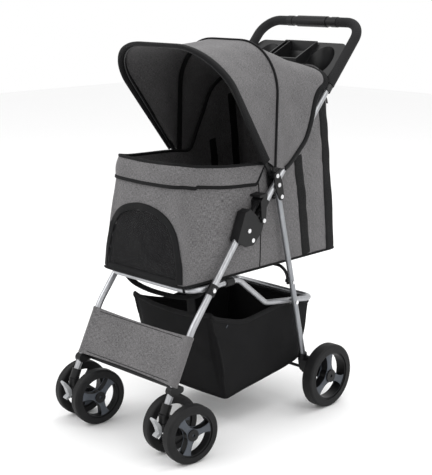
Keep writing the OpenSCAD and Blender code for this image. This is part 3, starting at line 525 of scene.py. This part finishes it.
class StrollerColours(bpy.types.PropertyGroup):
    cloth: bpy.props.FloatVectorProperty(
        name="Cloth", description="Mean colour of the heather cloth",
        subtype="COLOR", size=3, default=(0.105, 0.102, 0.104), min=0, max=1)
    trim: bpy.props.FloatVectorProperty(
        name="Trim", description="Colour of tapes, basket and rods",
        subtype="COLOR", size=3, default=(0.0045, 0.0045, 0.005), min=0, max=1)
    plastic: bpy.props.FloatVectorProperty(
        name="Plastic", description="Colour of the black mouldings",
        subtype="COLOR", size=3, default=(0.006, 0.006, 0.0065), min=0, max=1)
    insert: bpy.props.FloatVectorProperty(
        name="Wheel insert", description="Colour of the three-armed wheel inserts",
        subtype="COLOR", size=3, default=(0.062, 0.07, 0.083), min=0, max=1)


class StrollerSizes(bpy.types.PropertyGroup):
    cloth_thickness: bpy.props.FloatProperty(
        name="Cloth thickness", description="Thickness of the cabin's cloth",
        default=0.0022, min=0.0005, max=0.005, unit="LENGTH")
    binding: bpy.props.FloatProperty(
        name="Rim binding", description="Width of the tape over the cabin's rim",
        default=0.009, min=0.004, max=0.02, unit="LENGTH")
    window_tape: bpy.props.FloatProperty(
        name="Window tape", description="Width of the tape round the front window",
        default=0.017, min=0.008, max=0.03, unit="LENGTH")
    hood_tape: bpy.props.FloatProperty(
        name="Hood tape", description="Width of the tape over the front canopy bow",
        default=0.022, min=0.01, max=0.04, unit="LENGTH")
    hood_sag: bpy.props.FloatProperty(
        name="Hood sag", description="How far the canopy sinks between its bows",
        default=0.009, min=0, max=0.03, unit="LENGTH")


# ---- cabin ----

# Half of the cabin's outline, from the middle of the front to the middle of the back:
# each entry is the point on the floor edge and the point on the rim, in millimetres.
CABIN_STATIONS = (
    ((0, -263), (0, -244, 663)), ((60, -263), (48, -243, 664)), ((112, -262), (84, -241, 665)),
    ((132, -259), (98, -236, 665)), ((140, -250), (105, -226, 663)), ((142, -205), (118, -190, 657)),
    ((142, -130), (137, -120, 651)), ((142, -60), (144, -50, 648)), ((142, 0), (146, 0, 645)),
    ((142, 50), (147, 42, 644)), ((142, 95), (149, 68, 688)), ((142, 130), (151, 94, 734)),
    ((142, 170), (152, 120, 784)), ((142, 210), (152, 152, 812)), ((142, 245), (150, 184, 820)),
    ((142, 270), (147, 212, 808)), ((139, 284), (145, 232, 794)), ((128, 291), (134, 239, 790)),
    ((70, 293), (70, 243, 786)), ((0, 294), (0, 244, 786)),
)
CABIN_COLUMNS = 132
CABIN_ROWS = 64
CABIN_FLOOR = 388     # height of the floor's edge, in millimetres
BAND_COLUMNS = 150
LOOP_STEPS = 260      # pieces of a tape that goes all round the cabin

# The window tape's middle line, from the sill to the top: half width and height, in millimetres.
WINDOW_TAPE_HALF = ((130, 395), (128, 430), (122, 457), (110, 500), (91, 528), (60, 547), (30, 555))

# The net inside it: height and half width, in metres.
WINDOW_ROWS = ((0.3955, 0.122), (0.430, 0.119), (0.457, 0.114), (0.500, 0.102), (0.528, 0.084),
               (0.541, 0.062), (0.547, 0.036), (0.550, 0.0))


def cabin_outline():
    """The floor edge and the rim, read at the same stations so that the threads run up the cloth."""
    half = []
    tops = [mm(*top) for _, top in CABIN_STATIONS]
    lows = [mm(x, y, CABIN_FLOOR) for (x, y), _ in CABIN_STATIONS]
    spans = len(tops) - 1
    for i in range(CABIN_COLUMNS + 1):
        s = spans * i / CABIN_COLUMNS
        k = min(int(s), spans - 1)
        t = s - k
        half.append((spline_at(lows, k, t), spline_at(tops, k, t)))
    return half


def cabin_surface(half):
    """Point on the cabin's cloth: u runs round it from the middle of the front, v from floor to rim."""
    def place(u, v):
        s = u * 2
        right = s > 1
        s = 2 - s if right else s
        i = s * CABIN_COLUMNS
        k = min(int(i + 1e-6), CABIN_COLUMNS - 1)
        low = half[k][0].lerp(half[k + 1][0], i - k)
        top = half[k][1].lerp(half[k + 1][1], i - k)
        point = low.lerp(top, v)
        belly = math.sin(math.pi * min(1, v * 1.02))
        if point.y > 0.18:
            point.y -= 0.010 * belly * min(1, (point.y - 0.18) / 0.05)
        if point.y < -0.2:
            point.y -= 0.004 * belly * (1 - abs(point.x) / 0.14)
        side = 0.0045 if abs(point.x) > 0.1 else 0.0
        point.x += math.copysign(side * belly, point.x)
        if right:
            point.x = -point.x
        fold = ripple(point, 0.085, 0.0042, 3.0) + ripple(point, 0.032, 0.0012, 7.0)
        fold *= math.sin(math.pi * min(1, max(0, v))) ** 0.5
        if abs(point.x) > 0.11:
            point.x += math.copysign(fold, point.x)
        else:
            point.y += fold * (1 if point.y > 0 else -1)
        return point
    return place


def window_half(z):
    """Half the width of the arched front window at a height, or less than nothing outside it."""
    if z < WINDOW_ROWS[0][0] or z > WINDOW_ROWS[-1][0]:
        return -1.0
    for (z0, w0), (z1, w1) in zip(WINDOW_ROWS, WINDOW_ROWS[1:]):
        if z <= z1:
            return w0 + (w1 - w0) * (z - z0) / (z1 - z0)
    return -1.0


class STROLLER_OT_cabin(bpy.types.Operator):
    """Sew the cabin: shell, window, top band, bindings, seams and straps"""
    bl_idname = "stroller.cabin"
    bl_label = "Cabin"

    def execute(self, context):
        sizes = context.scene.stroller_sizes
        half = cabin_outline()
        place = cabin_surface(half)
        round_it = 2 * path_length([low for low, _ in half])
        shell = cloth_grid("cabin_cloth", CABIN_COLUMNS * 2, CABIN_ROWS, place, (round_it, 0.27))
        weld(shell)
        dress(shell, "cloth", "lining", "net")
        for face in shell.data.polygons:
            middle = face.center
            if middle.y < -0.2 and abs(middle.x) < window_half(middle.z) and abs(face.normal.y) > 0.6:
                face.material_index = 2
        outside = shell.copy()
        outside.data = shell.data.copy()
        outside.name = "cabin_pattern"
        bpy.context.collection.objects.link(outside)
        thicken(shell, sizes.cloth_thickness, lining=1)
        smooth(shell, 60)
        settled(shell, "basket_frame", "grey_cloth", "cabin")
        pieces = [shell, self.floor(half)]
        pieces += self.top_band(outside, sizes)
        pieces += self.trims(outside, half, place, sizes)
        bpy.data.objects.remove(outside)
        for piece in pieces:
            if piece is not shell:
                settled(piece, "basket_frame", "grey_cloth" if "band" in piece.name else "black_cloth")
            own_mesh(piece)
        return {"FINISHED"}

    def floor(self, half):
        low = [p for p, _ in half]

        def place(u, v):
            p = low[round(u * CABIN_COLUMNS)]
            x = p.x * (1 - 2 * v) * 0.992
            sag = 0.0015 * math.sin(math.pi * u) * (1 - (1 - 2 * v) ** 2)
            return Vector((x, p.y, 0.3893 - sag))
        floor = cloth_grid("cabin_base", CABIN_COLUMNS, 24, place, (0.6, 0.28))
        weld(floor, 0.0002)
        dress(floor, "nylon")
        point_outwards(floor)
        if floor.data.polygons[10].normal.z > 0:
            floor.data.flip_normals()
        thicken(floor, 0.0016)
        smooth(floor, 60)
        return floor

    def top_band(self, ground, sizes):
        """The deep band that hangs from the rim, from one hinge plate round the front to the other."""
        rim = [mm(*top) for _, top in CABIN_STATIONS[:10]]
        rim = curve_through(mirrored(rim[1:]) + rim, BAND_COLUMNS)
        foot = []
        for p in rim:
            drop = 0.047
            if p.y < -0.2:
                drop = 0.0505
            if p.y > -0.028:
                drop = 0.05 * max(0.0, 1 - (p.y + 0.028) / 0.030)
            foot.append(Vector((p.x, p.y, p.z - max(drop, 0.0015))))
        top, ways = lay_on(ground, rim, 0.0028)
        low, low_ways = lay_on(ground, foot, 0.0034)

        def place(u, v):
            i = round(u * BAND_COLUMNS)
            p = low[i].lerp(top[i], v)
            out = (low_ways[i] * (1 - v) + ways[i] * v).normalized()
            belly = math.sin(math.pi * v)
            p += out * (0.0032 * belly + ripple(p, 0.05, 0.0016, 11.0) * belly)
            return p
        band = cloth_grid("cabin_band", BAND_COLUMNS, 12, place, (path_length(rim), 0.055))
        dress(band, "cloth")
        thicken(band, 0.0016)
        smooth(band, 60)
        path_length(rim)
        smooth_ways = [w.normalized() for w in low_ways]
        edge = strip("band_edge_tape", low, 0.0085, 0.0042, lambda i, p: smooth_ways[i], square=3.5)
        dress(edge, "tape")
        rim_line = [p + Vector((0, 0, 0.0008)) for p in self.rim_path(ground)]
        binding = strip("rim_binding", rim_line, sizes.binding, sizes.binding * 0.85, face_up,
                        closed=True, square=2.6)
        dress(binding, "tape")
        return [band, edge, binding]

    def rim_path(self, ground):
        rim = whole_loop([mm(*top) for _, top in CABIN_STATIONS])
        path = curve_through(rim, LOOP_STEPS, closed=True)
        points, _ = lay_on(ground, path, 0.0)
        points[-1] = points[0]
        return points

    def trims(self, ground, half, place, sizes):
        pieces = []

        def add(piece, finish="tape"):
            dress(piece, finish)
            pieces.append(piece)

        arch = [mm(-x, -262, z) for x, z in WINDOW_TAPE_HALF] + [mm(0, -250, 557)]
        arch += mirrored(arch[:-1])
        add(tape_on("window_tape", ground, curve_through(arch, 90), sizes.window_tape, 0.003, 0.0012))
        sill = [mm(x, -263, 397) for x in (-124, -60, 0, 60, 124)]
        add(tape_on("window_sill_tape", ground, curve_through(sill, 40), 0.015, 0.003, 0.0012))
        for side, tag in ((1, "left"), (-1, "right")):
            def seam(name, points, width, thick, proud=0.0006, count=40, square=3.0):
                path = curve_through([mm(side * x, y, z) for x, y, z in points], count)
                add(tape_on(name + "_" + tag, ground, path, width, thick, proud, square=square))
            seam("side_webbing", ((150, 172, 392), (150, 155, 470), (150, 137, 560), (150, 118, 652)),
                 0.031, 0.0024)
            seam("rear_corner_tape", ((146, 268, 391), (150, 260, 450), (150, 249, 520), (150, 238, 600),
                                      (150, 229, 669), (150, 219, 740), (148, 214, 786)), 0.032, 0.003)
            seam("inner_band_front", ((140, 139, 560), (140, 134, 620), (140, 128, 662)),
                 0.024, 0.0016, -0.0034)
            seam("inner_band_rear", ((140, 220, 560), (140, 214, 640), (140, 204, 720), (140, 196, 778)),
                 0.024, 0.0016, -0.0034)
            seam("side_seam", ((150, -3, 391), (152, -7, 470), (150, -13, 560), (150, -16, 600)),
                 0.0026, 0.0018)
        loop = whole_loop([low for low, _ in half])
        lift = Vector((0, 0, 0.001))
        path = evenly([p + lift for p in loop + loop[:1]], LOOP_STEPS)
        path[-1] = path[0]
        add(strip("base_piping", path, 0.0075, 0.0062, face_up, closed=True, square=2.2))
        tail = curve_through([mm(140, -256, 392), mm(141, -258, 384), mm(142, -257, 377)], 8)
        add(strip("piping_tail", tail, 0.006, 0.004, lambda i, p: Vector((1, 0, 0))))
        return pieces


# ---- canopy ----

FRONT_LEAN = math.radians(-35.2)    # of the front bow, from upright
MID_LEAN = math.radians(1.5)
HOOD_COLUMNS = 144
HOOD_ROWS = 40
FLAP_ROWS = 24
FLAP_HALF = 0.146                   # half the back flap's width

hood_core = canopy_hub + Vector((0, 0, 0.1))


def out_of_hood(i, point):
    """The way a tape on the canopy looks, for strip()."""
    return (point - Vector((0, point.y, hood_core.z))).normalized()


def bow_arch(half, height, corner, lean, foot, count, grow=0.0):
    """The path of a canopy bow, from its left foot over the top to its right foot, grown outwards."""
    half, height, corner = half + grow, height + grow, corner + grow
    flat = [Vector((half, 0, foot)), Vector((half, 0, height - corner))]
    for k in range(1, 17):
        a = math.pi / 2 * k / 16
        flat.append(Vector((half - corner + corner * math.cos(a), 0, height - corner + corner * math.sin(a))))
    flat += [Vector((-p.x, 0, p.z)) for p in reversed(flat)]
    turn = Matrix.Rotation(-lean, 3, "X")
    return evenly([canopy_hub + turn @ p for p in flat], count)


def front_arch(count, grow=0.0, foot=0.05):
    """The front bow, whose feet draw in towards the middle bow's."""
    path = bow_arch(0.177, 0.374, 0.115, FRONT_LEAN, foot, count, grow)
    turn = Matrix.Rotation(-FRONT_LEAN, 3, "X")
    out = []
    for p in path:
        local = turn.inverted() @ (p - canopy_hub)
        k = min(1.0, max(0.0, (local.z - 0.05) / 0.22))
        local.x *= 1 - 0.092 * (1 - k)
        out.append(canopy_hub + turn @ local)
    return out


def mid_arch(count, grow=0.0, foot=0.02):
    return bow_arch(0.165, 0.308, 0.118, MID_LEAN, foot, count, grow)


def hem_path(count):
    """The canopy's rear hem, from the left hinge plate up and over to the right one."""
    side = [mm(174, 50, 631), mm(175, 70, 644), mm(175, 102, 672), mm(175, 126, 698), mm(175, 144, 740),
            mm(175, 157, 786), mm(174.5, 170, 808), mm(173, 194, 822), mm(166, 205, 836), mm(148, 213, 849),
            mm(110, 218, 859), mm(60, 219, 865)]
    return curve_through(side + [mm(0, 219, 867)] + mirrored(side), count)


class STROLLER_OT_canopy(bpy.types.Operator):
    """Stretch the canopy over its two bows and bind its edges"""
    bl_idname = "stroller.canopy"
    bl_label = "Canopy"

    def execute(self, context):
        sizes = context.scene.stroller_sizes
        front, mid = front_arch(HOOD_COLUMNS, 0.0045), mid_arch(HOOD_COLUMNS, 0.0045)
        width = path_length(front)
        panel = self.panel("canopy_front_cloth", front, mid, sizes.hood_sag, 21.0, (width, 0.2))
        settled(panel, None, "grey_cloth", "canopy_front")
        rear = self.panel("canopy_rear_cloth", mid, hem_path(HOOD_COLUMNS), sizes.hood_sag * 0.6, 33.0,
                          (width, 0.22))
        settled(rear, None, "grey_cloth", "canopy_rear")
        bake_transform(panel)
        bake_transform(rear)
        self.tape("hood_brim_tape", front_arch(150, 0.0052, 0.044), sizes.hood_tape, 0.010, 2.4,
                  "canopy_front")
        self.tape("hood_ridge_piping", mid_arch(150, 0.0062), 0.0065, 0.005, 2.2, "canopy_mid")
        self.tape("hood_bow_pocket", mid_arch(120, -0.0045), 0.016, 0.003, 3.0, "canopy_mid")
        self.back_flap()
        self.tape("hood_hem_tape", hem_path(150), 0.015, 0.006, 2.6, "handle")
        return {"FINISHED"}

    def panel(self, name, a, b, sag, seed, flat):
        """Cloth from one arch to the next, which sinks and ripples between them."""
        def place(u, v):
            i = round(u * HOOD_COLUMNS)
            p = a[i].lerp(b[i], v)
            inward = (canopy_hub + Vector((0, 0, 0.12)) - p).normalized()
            arch = math.sin(math.pi * v)
            p += inward * (sag * arch * (0.45 + 0.55 * math.sin(math.pi * u)))
            p += inward * (ripple(p, 0.07, 0.0035, seed) * arch)
            return p
        piece = cloth_grid(name, HOOD_COLUMNS, HOOD_ROWS, place, flat)
        dress(piece, "cloth", "lining")
        top = max(piece.data.polygons, key=lambda f: f.center.z)
        if top.normal.z < 0:
            piece.data.flip_normals()
        thicken(piece, 0.0016, lining=1)
        smooth(piece, 60)
        return piece

    def tape(self, name, path, width, thick, square, body):
        piece = strip(name, path, width, thick, out_of_hood, square=square)
        dress(piece, "tape")
        settled(piece, body, "black_cloth")

    def back_flap(self):
        """The cloth that closes the back between the canopy's hem and the cabin, in front of the tray."""
        rows = ((219, 866), (219.5, 850), (219.5, 830), (220.5, 812), (226, 798), (238, 788), (243, 770))
        spine = curve_through([mm(0, y, z) for y, z in rows], FLAP_ROWS)

        def place(u, v):
            p = spine[round(v * FLAP_ROWS)].copy()
            p.x = (u * 2 - 1) * FLAP_HALF
            drop = max(0.0, abs(p.x) - 0.10) / 0.046
            p.z -= 0.016 * drop * drop * (1 - v)
            p.y -= 0.006 * drop * drop * (1 - v) + abs(ripple(p, 0.06, 0.002, 41.0))
            return p
        flap = cloth_grid("hood_back_flap", 60, FLAP_ROWS, place, (0.292, 0.1))
        dress(flap, "cloth", "lining")
        if flap.data.polygons[0].normal.y < 0:
            flap.data.flip_normals()
        thicken(flap, 0.0014, lining=1)
        smooth(flap, 60)
        settled(flap, "handle", "grey_cloth")

    def area_of(self, piece):
        return sum(f.area for f in piece.data.polygons)


# ---- basket and footrest ----

# Half of the basket's outline, from the middle of the front to the middle of the back:
# each entry is the point on the floor's edge and the point on the rim, in millimetres.
BASKET_STATIONS = (
    ((0, -112, 76), (0, -160, 287)), ((60, -112, 76), (62, -163, 290)),
    ((112, -112, 76), (116, -166, 298)), ((131, -109, 77), (135, -166, 302)),
    ((134, -98, 79), (138, -158, 293)), ((134, -50, 86), (138, -110, 276)),
    ((134, 10, 93), (138, -52, 263)), ((134, 60, 99), (138, 21, 270)),
    ((134, 100, 104), (138, 90, 277)), ((134, 140, 112), (138, 150, 271)),
    ((132, 160, 118), (138, 182, 266)), ((124, 168, 121), (130, 192, 264)),
    ((60, 169, 121), (60, 194, 263)), ((0, 169, 121), (0, 194, 263)),
)


class STROLLER_OT_basket(bpy.types.Operator):
    """Sew the sling basket and the straps that carry it"""
    bl_idname = "stroller.basket"
    bl_label = "Basket"

    def execute(self, context):
        lows = [mm(*low) for low, _ in BASKET_STATIONS]
        tops = [mm(*top) for _, top in BASKET_STATIONS]
        spans = len(lows) - 1
        columns, rows, deep = 110, 34, 14

        def wall(u, v):
            s = u * 2
            right = s > 1
            s = (2 - s if right else s) * spans
            p = station_at(lows, s).lerp(station_at(tops, s), v)
            belly = math.sin(math.pi * v)
            if abs(p.x) > 0.12:
                p.x += math.copysign(0.003 * belly + ripple(p, 0.06, 0.003, 5.0) * belly, p.x)
            elif p.y < 0:
                p.y += -0.004 * belly + ripple(p, 0.05, 0.003, 9.0) * belly
                if v > 0.5:
                    p.z -= 0.006 * (1 - (abs(p.x) / 0.135) ** 2) * (v - 0.5)
            else:
                p.y += 0.003 * belly
            if right:
                p.x = -p.x
            return p
        shell = cloth_grid("basket_cloth", columns * 2, rows, wall, (1.12, 0.2))
        weld(shell)
        dress(shell, "nylon")

        def bottom(u, v):
            p = station_at(lows, u * spans)
            p.x *= 1 - 2 * v
            p.z -= 0.004 * math.sin(math.pi * u) * (1 - (1 - 2 * v) ** 2)
            return p
        base = cloth_grid("basket_base", columns, deep, bottom, (0.29, 0.26))
        weld(base, 0.0002)
        if base.data.polygons[len(base.data.polygons) // 2].normal.z > 0:
            base.data.flip_normals()
        dress(base, "nylon")
        ground = shell.copy()
        ground.data = shell.data.copy()
        bpy.context.collection.objects.link(ground)
        for piece, flat in ((shell, (1.08, 0.19)), (base, (0.27, 0.29))):
            thicken(piece, 0.0014)
            smooth(piece, 60)
        settled(shell, "basket_frame", "black_cloth", "basket")
        settled(base, "basket_frame", "black_cloth")
        pieces = [shell, base]
        path, _ = lay_on(ground, curve_through(whole_loop(tops), 220, closed=True), 0.0)
        path[-1] = path[0]
        pieces.append(strip("basket_rim_tape", path, 0.006, 0.012, face_up, closed=True, square=2.8))
        for side, tag in ((1, "left"), (-1, "right")):
            corner = curve_through([mm(side * x, y, z) for x, y, z in (
                (132, -109, 77), (134, -130, 180), (136, -165, 300))], 40)
            pieces.append(tape_on("basket_corner_seam_" + tag, ground, corner, 0.005, 0.003, 0.0006))
        foot = curve_through(whole_loop([p + Vector((0, 0, 0.001)) for p in lows]), 200, closed=True)
        foot[-1] = foot[0]
        pieces.append(strip("basket_base_piping", foot, 0.005, 0.005, face_up, closed=True, square=2.2))
        bpy.data.objects.remove(ground)
        mark = strip("basket_bar_tack", [mm(141.2, -118, 262), mm(141.2, -113, 268)], 0.0022, 0.0012,
                     lambda i, p: Vector((1, 0, 0)))
        pieces.append(mark)
        for piece in pieces:
            if piece not in (shell, base):
                dress(piece, "insert" if piece is mark else "tape")
                settled(piece, "basket_frame", "black_cloth")
            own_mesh(piece)
        for name, points, width, way in (
                ("basket_strap", ((70, -170, 385), (70, -169, 350), (70, -166, 320), (70, -163, 290)),
                 0.03, Vector((0, -1, 0))),
                ("floor_band", ((-138, -196, 366), (-110, -190, 342), (-60, -186, 331), (0, -182, 329),
                                (60, -182, 334), (110, -184, 348), (139, -188, 366)),
                 0.014, Vector((0, -0.6, 0.8)))):
            path = curve_through([mm(*point) for point in points], 60)
            band = strip(name, path, width, 0.0022, lambda i, p: way, square=5)
            dress(band, "tape")
            settled(band, "basket_frame", "black_cloth")
            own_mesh(band)
        return {"FINISHED"}


class STROLLER_OT_footrest(bpy.types.Operator):
    """Sleeve the footrest flap over the front legs and hem it"""
    bl_idname = "stroller.footrest"
    bl_label = "Footrest flap"

    def execute(self, context):
        lean = math.radians(26.5)
        up = Vector((0, math.sin(lean), math.cos(lean)))
        out = Vector((0, -math.cos(lean), math.sin(lean)))
        foot = Vector((0, -0.3151, 0.172))
        length = (0.279 - 0.172) / math.cos(lean)
        r = 0.0105      # of the sleeves round the legs
        n = 40          # pieces of cloth from leg to leg

        def pinch(k):
            """How far front and back have drawn together, k pieces from a leg."""
            return 0.0075 * math.sin(math.pi * min(1, min(k, n - k) / 4) / 2)
        ring = []
        for k in range(25):
            a = math.pi / 2 - math.pi * k / 24
            ring.append((leg_x + r * math.cos(a), r * math.sin(a)))
        outline = ring + [(leg_x - leg_x * 2 * k / n, pinch(k) - r) for k in range(1, n)]
        outline += [(-x, y) for x, y in reversed(ring)]
        outline += [(leg_x * 2 * k / n - leg_x, r - pinch(k)) for k in range(1, n)]
        count = len(outline)
        rows = 44

        def place(u, v):
            x, d = outline[round(u * count) % count]
            p = foot + up * (length * v) + out * d
            p.x = x
            middle = 1 - (x / leg_x) ** 2
            sag = middle * math.sin(math.pi * v)
            p += out * (-0.004 * middle + ripple(Vector((x, 0, v * length)), 0.05, 0.0016, 13.0) * sag)
            p += up * (0.0035 * middle * (-1 if v > 0.5 else 1) * (abs(v - 0.5) * 2) ** 3)
            hem = max(0.0, abs(v - 0.5) - 0.44) / 0.06
            if 0.02 < hem < 0.95:
                p += out * math.copysign(0.0008, d)
            return p
        flap = cloth_grid("footrest_cloth", count, rows, place, (0.7, length))
        weld(flap)
        dress(flap, "cloth")
        point_outwards(flap)
        thicken(flap, 0.0012)
        smooth(flap, 50)
        settled(flap, "frame", "grey_cloth", "footrest_flap")
        for name, v in (("footrest_low_stitch", 0.07), ("footrest_high_stitch", 0.93)):
            path = []
            for i in range(61):
                x = (-150 + 300 * i / 60) / 1000
                path.append(foot + up * (length * v) + out * (0.0042 - 0.004 * (1 - (x / 0.15) ** 2))
                            + Vector((x, 0, 0)))
            points, _ = lay_on(flap, path, 0.0002)
            seam = strip(name, points, 0.0014, 0.0008, lambda i, p: out)
            dress(seam, "nylon")
            settled(seam, "frame", "black_cloth")
        return {"FINISHED"}


# ---- wheels ----

# Half an arm of the wheel inserts: how far out, as a share of the wheel's radius,
# and how wide, as a share of the arm's waist.
ARM_PROFILE = ((0.20, 1.30), (0.30, 1.05), (0.42, 1.02), (0.54, 1.15), (0.64, 1.45), (0.69, 1.75))
INSERT_TURN = {"rear_left": 94, "rear_right": 94, "front_left": 10, "front_right": 47}    # degrees
INSERT_FACE = {"rear": 0.016 * 0.6, "front": 0.013 * 0.6}    # from the wheel's middle, in metres


def wheel_arms(name, centre, spin, radius, phase, thick):
    """The three-armed slate insert on one face of a wheel."""
    outline = []
    tip, waist = radius * 0.70, radius * 0.105
    for k in range(3):
        a = phase + k * 2 * math.pi / 3
        along = Vector((math.cos(a), math.sin(a)))
        across = Vector((-along.y, along.x))
        for r, w in ARM_PROFILE:
            outline.append(along * (radius * r) - across * (waist * w))
        for w in (-0.9, -0.3, 0.3, 0.9):
            outline.append(along * (tip + radius * 0.025 * (1 - w * w))
                           + across * (waist * ARM_PROFILE[-1][1] * w))
        for r, w in reversed(ARM_PROFILE):
            outline.append(along * (radius * r) + across * (waist * w))
    nothing_selected()
    bpy.ops.mesh.primitive_circle_add(vertices=len(outline), radius=1, fill_type="NGON", location=(0, 0, 0))
    arms = bpy.context.object
    arms.name = arms.data.name = name
    ref = Vector((0, 1, 0))
    side_a = (ref - spin * ref.dot(spin)).normalized()
    side_b = spin.cross(side_a)
    for vertex, p in zip(arms.data.vertices, outline):
        vertex.co = centre + side_a * p.x + side_b * p.y
    arms.data.update()
    if arms.data.polygons[0].normal.dot(spin) < 0:
        arms.data.flip_normals()
    pick(arms)
    bpy.ops.object.mode_set(mode="EDIT")
    bpy.ops.mesh.select_all(action="SELECT")
    bpy.ops.mesh.extrude_region_move(TRANSFORM_OT_translate={"value": tuple(spin * thick)})
    bpy.ops.mesh.select_all(action="SELECT")
    bpy.ops.mesh.normals_make_consistent(inside=False)
    bpy.ops.object.mode_set(mode="OBJECT")
    finish_modifier(arms, "BEVEL", width=0.0012, segments=2, limit_method="ANGLE",
                    angle_limit=math.radians(40))
    smooth(arms, 35)
    return arms


class STROLLER_OT_wheels(bpy.types.Operator):
    """Fit the three-armed inserts to both faces of every wheel"""
    bl_idname = "stroller.wheels"
    bl_label = "Wheels"

    def execute(self, context):
        for joint in frame["record"]["behaviour"]["joints"]:
            if "_spin_" not in joint["name"]:
                continue
            tyre = next(n for n in frame["record"]["behaviour"]["bodies"][joint["child"]] if "tyre" in n)
            low, high = (Vector(p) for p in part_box(tyre))
            centre = (low + high) / 2
            radius = (high.z - low.z) / 2
            spin = Vector(joint["axis"]).normalized()
            axle = "rear" if "rear" in joint["name"] else "front"
            side = "left" if "left" in joint["name"] else "right"
            half = INSERT_FACE[axle]
            phase = math.radians(INSERT_TURN[axle + "_" + side])
            for way, face in ((1, "a"), (-1, "b")):
                arms = wheel_arms(joint["child"] + "_insert_" + face, centre + spin * (way * half),
                                  spin * way, radius, phase * way, 0.0022)
                dress(arms, "insert")
                settled(arms, joint["child"], "grey_plastic")
        return {"FINISHED"}


# ---- finishes on the carried-over pieces ----

class STROLLER_OT_finishes(bpy.types.Operator):
    """Give every carried-over piece its finish"""
    bl_idname = "stroller.finishes"
    bl_label = "Finishes"

    def execute(self, context):
        build_finishes(context.scene.stroller_colours)
        for node, piece in frame["nodes"].items():
            name = "plastic"
            if node.startswith("front_leg") or node in ("handle_tube", "basket_bar"):
                name = "tube"
            elif node.startswith("rear_leg"):
                # Rear legs take the darker copy of the tube metal, which is painted shade.
                name = "leg_tube"
            elif "tyre" in node:
                name = "tyre"
            elif "swivel_lock" in node:
                name = "lever"
            elif "pins" in node or "rivets" in node:
                name = "rivet"
            elif node in ("floor_bow", "rear_axle", "front_crossbar", "canopy_mid_bow", "canopy_front_bow"):
                name = "rod"
            elif node == "foam_grips":
                name = "foam"
            elif node == "cup_tray":
                name = "gloss"
            elif node == "floor_board":
                name = "board"
            dress(piece, name)
        return {"FINISHED"}


# ---- stage ----

LAMPS = (
    # name, place in metres, size in metres, power in watts
    ("key_light", (-1.2, -2.4, 2.8), 2.2, 45),
    ("side_light", (3.0, -0.2, 1.9), 2.0, 20),
    ("top_light", (0.2, 1.4, 3.2), 2.5, 40),
)
LAMPS_AIM = Vector((0, 0, 0.45))
CAMERA_PLACE = Vector((1.8626, -1.8991, 1.0751))
CAMERA_AIM = Vector((0, -0.010, 0.4421))


class STROLLER_OT_stage(bpy.types.Operator):
    """Lay the pale floor and set the soft studio light and the camera"""
    bl_idname = "stroller.stage"
    bl_label = "Stage"

    def execute(self, context):
        nothing_selected()
        bpy.ops.mesh.primitive_plane_add(size=14, location=(0, 0, -0.0005))
        floor = bpy.context.object
        floor.name = "studio_floor"
        material, _, _, shader = finish_nodes("pale_floor")
        shader.inputs["Base Color"].default_value = (0.93, 0.93, 0.93, 1)
        shader.inputs["Roughness"].default_value = 0.9
        floor.data.materials.append(material)
        world = bpy.data.worlds.new("studio_air")
        context.scene.world = world
        world.use_nodes = True
        world.node_tree.nodes["Background"].inputs["Color"].default_value = (1, 1, 1, 1)
        world.node_tree.nodes["Background"].inputs["Strength"].default_value = 1.0
        for name, place, size, power in LAMPS:
            lamp_data = bpy.data.lights.new(name, "AREA")
            lamp_data.size, lamp_data.energy = size, power
            lamp = bpy.data.objects.new(name, lamp_data)
            lamp.location = place
            lamp.rotation_euler = (LAMPS_AIM - Vector(place)).to_track_quat("-Z", "Y").to_euler()
            context.collection.objects.link(lamp)
        context.scene.view_settings.view_transform = "Standard"
        lens = bpy.data.cameras.new("studio_camera")
        lens.lens, lens.sensor_width = 82.3, 36
        lens.clip_end = 50
        camera = bpy.data.objects.new("studio_camera", lens)
        camera.location = CAMERA_PLACE
        camera.rotation_euler = (CAMERA_AIM - CAMERA_PLACE).to_track_quat("-Z", "Y").to_euler()
        context.collection.objects.link(camera)
        context.scene.camera = camera
        return {"FINISHED"}


class STROLLER_PT_panel(bpy.types.Panel):
    bl_label = "Pet stroller"
    bl_space_type = "VIEW_3D"
    bl_region_type = "UI"
    bl_category = "Stroller"

    def draw(self, context):
        for group in (context.scene.stroller_colours, context.scene.stroller_sizes):
            for key in group.__annotations__:
                self.layout.prop(group, key)
        for operator in OPERATORS:
            self.layout.operator(operator.bl_idname)


OPERATORS = (STROLLER_OT_finishes, STROLLER_OT_cabin, STROLLER_OT_canopy, STROLLER_OT_basket,
             STROLLER_OT_footrest, STROLLER_OT_wheels, STROLLER_OT_stage)
CLASSES = (StrollerColours, StrollerSizes, *OPERATORS, STROLLER_PT_panel)


def register():
    for cls in CLASSES:
        bpy.utils.register_class(cls)
    bpy.types.Scene.stroller_colours = bpy.props.PointerProperty(type=StrollerColours)
    bpy.types.Scene.stroller_sizes = bpy.props.PointerProperty(type=StrollerSizes)


def unregister():
    del bpy.types.Scene.stroller_sizes
    del bpy.types.Scene.stroller_colours
    for cls in reversed(CLASSES):
        bpy.utils.unregister_class(cls)


def main():
    register()
    for operator in OPERATORS:
        group, name = operator.bl_idname.split(".")
        getattr(getattr(bpy.ops, group), name)()


if __name__ == "__main__":
    main()
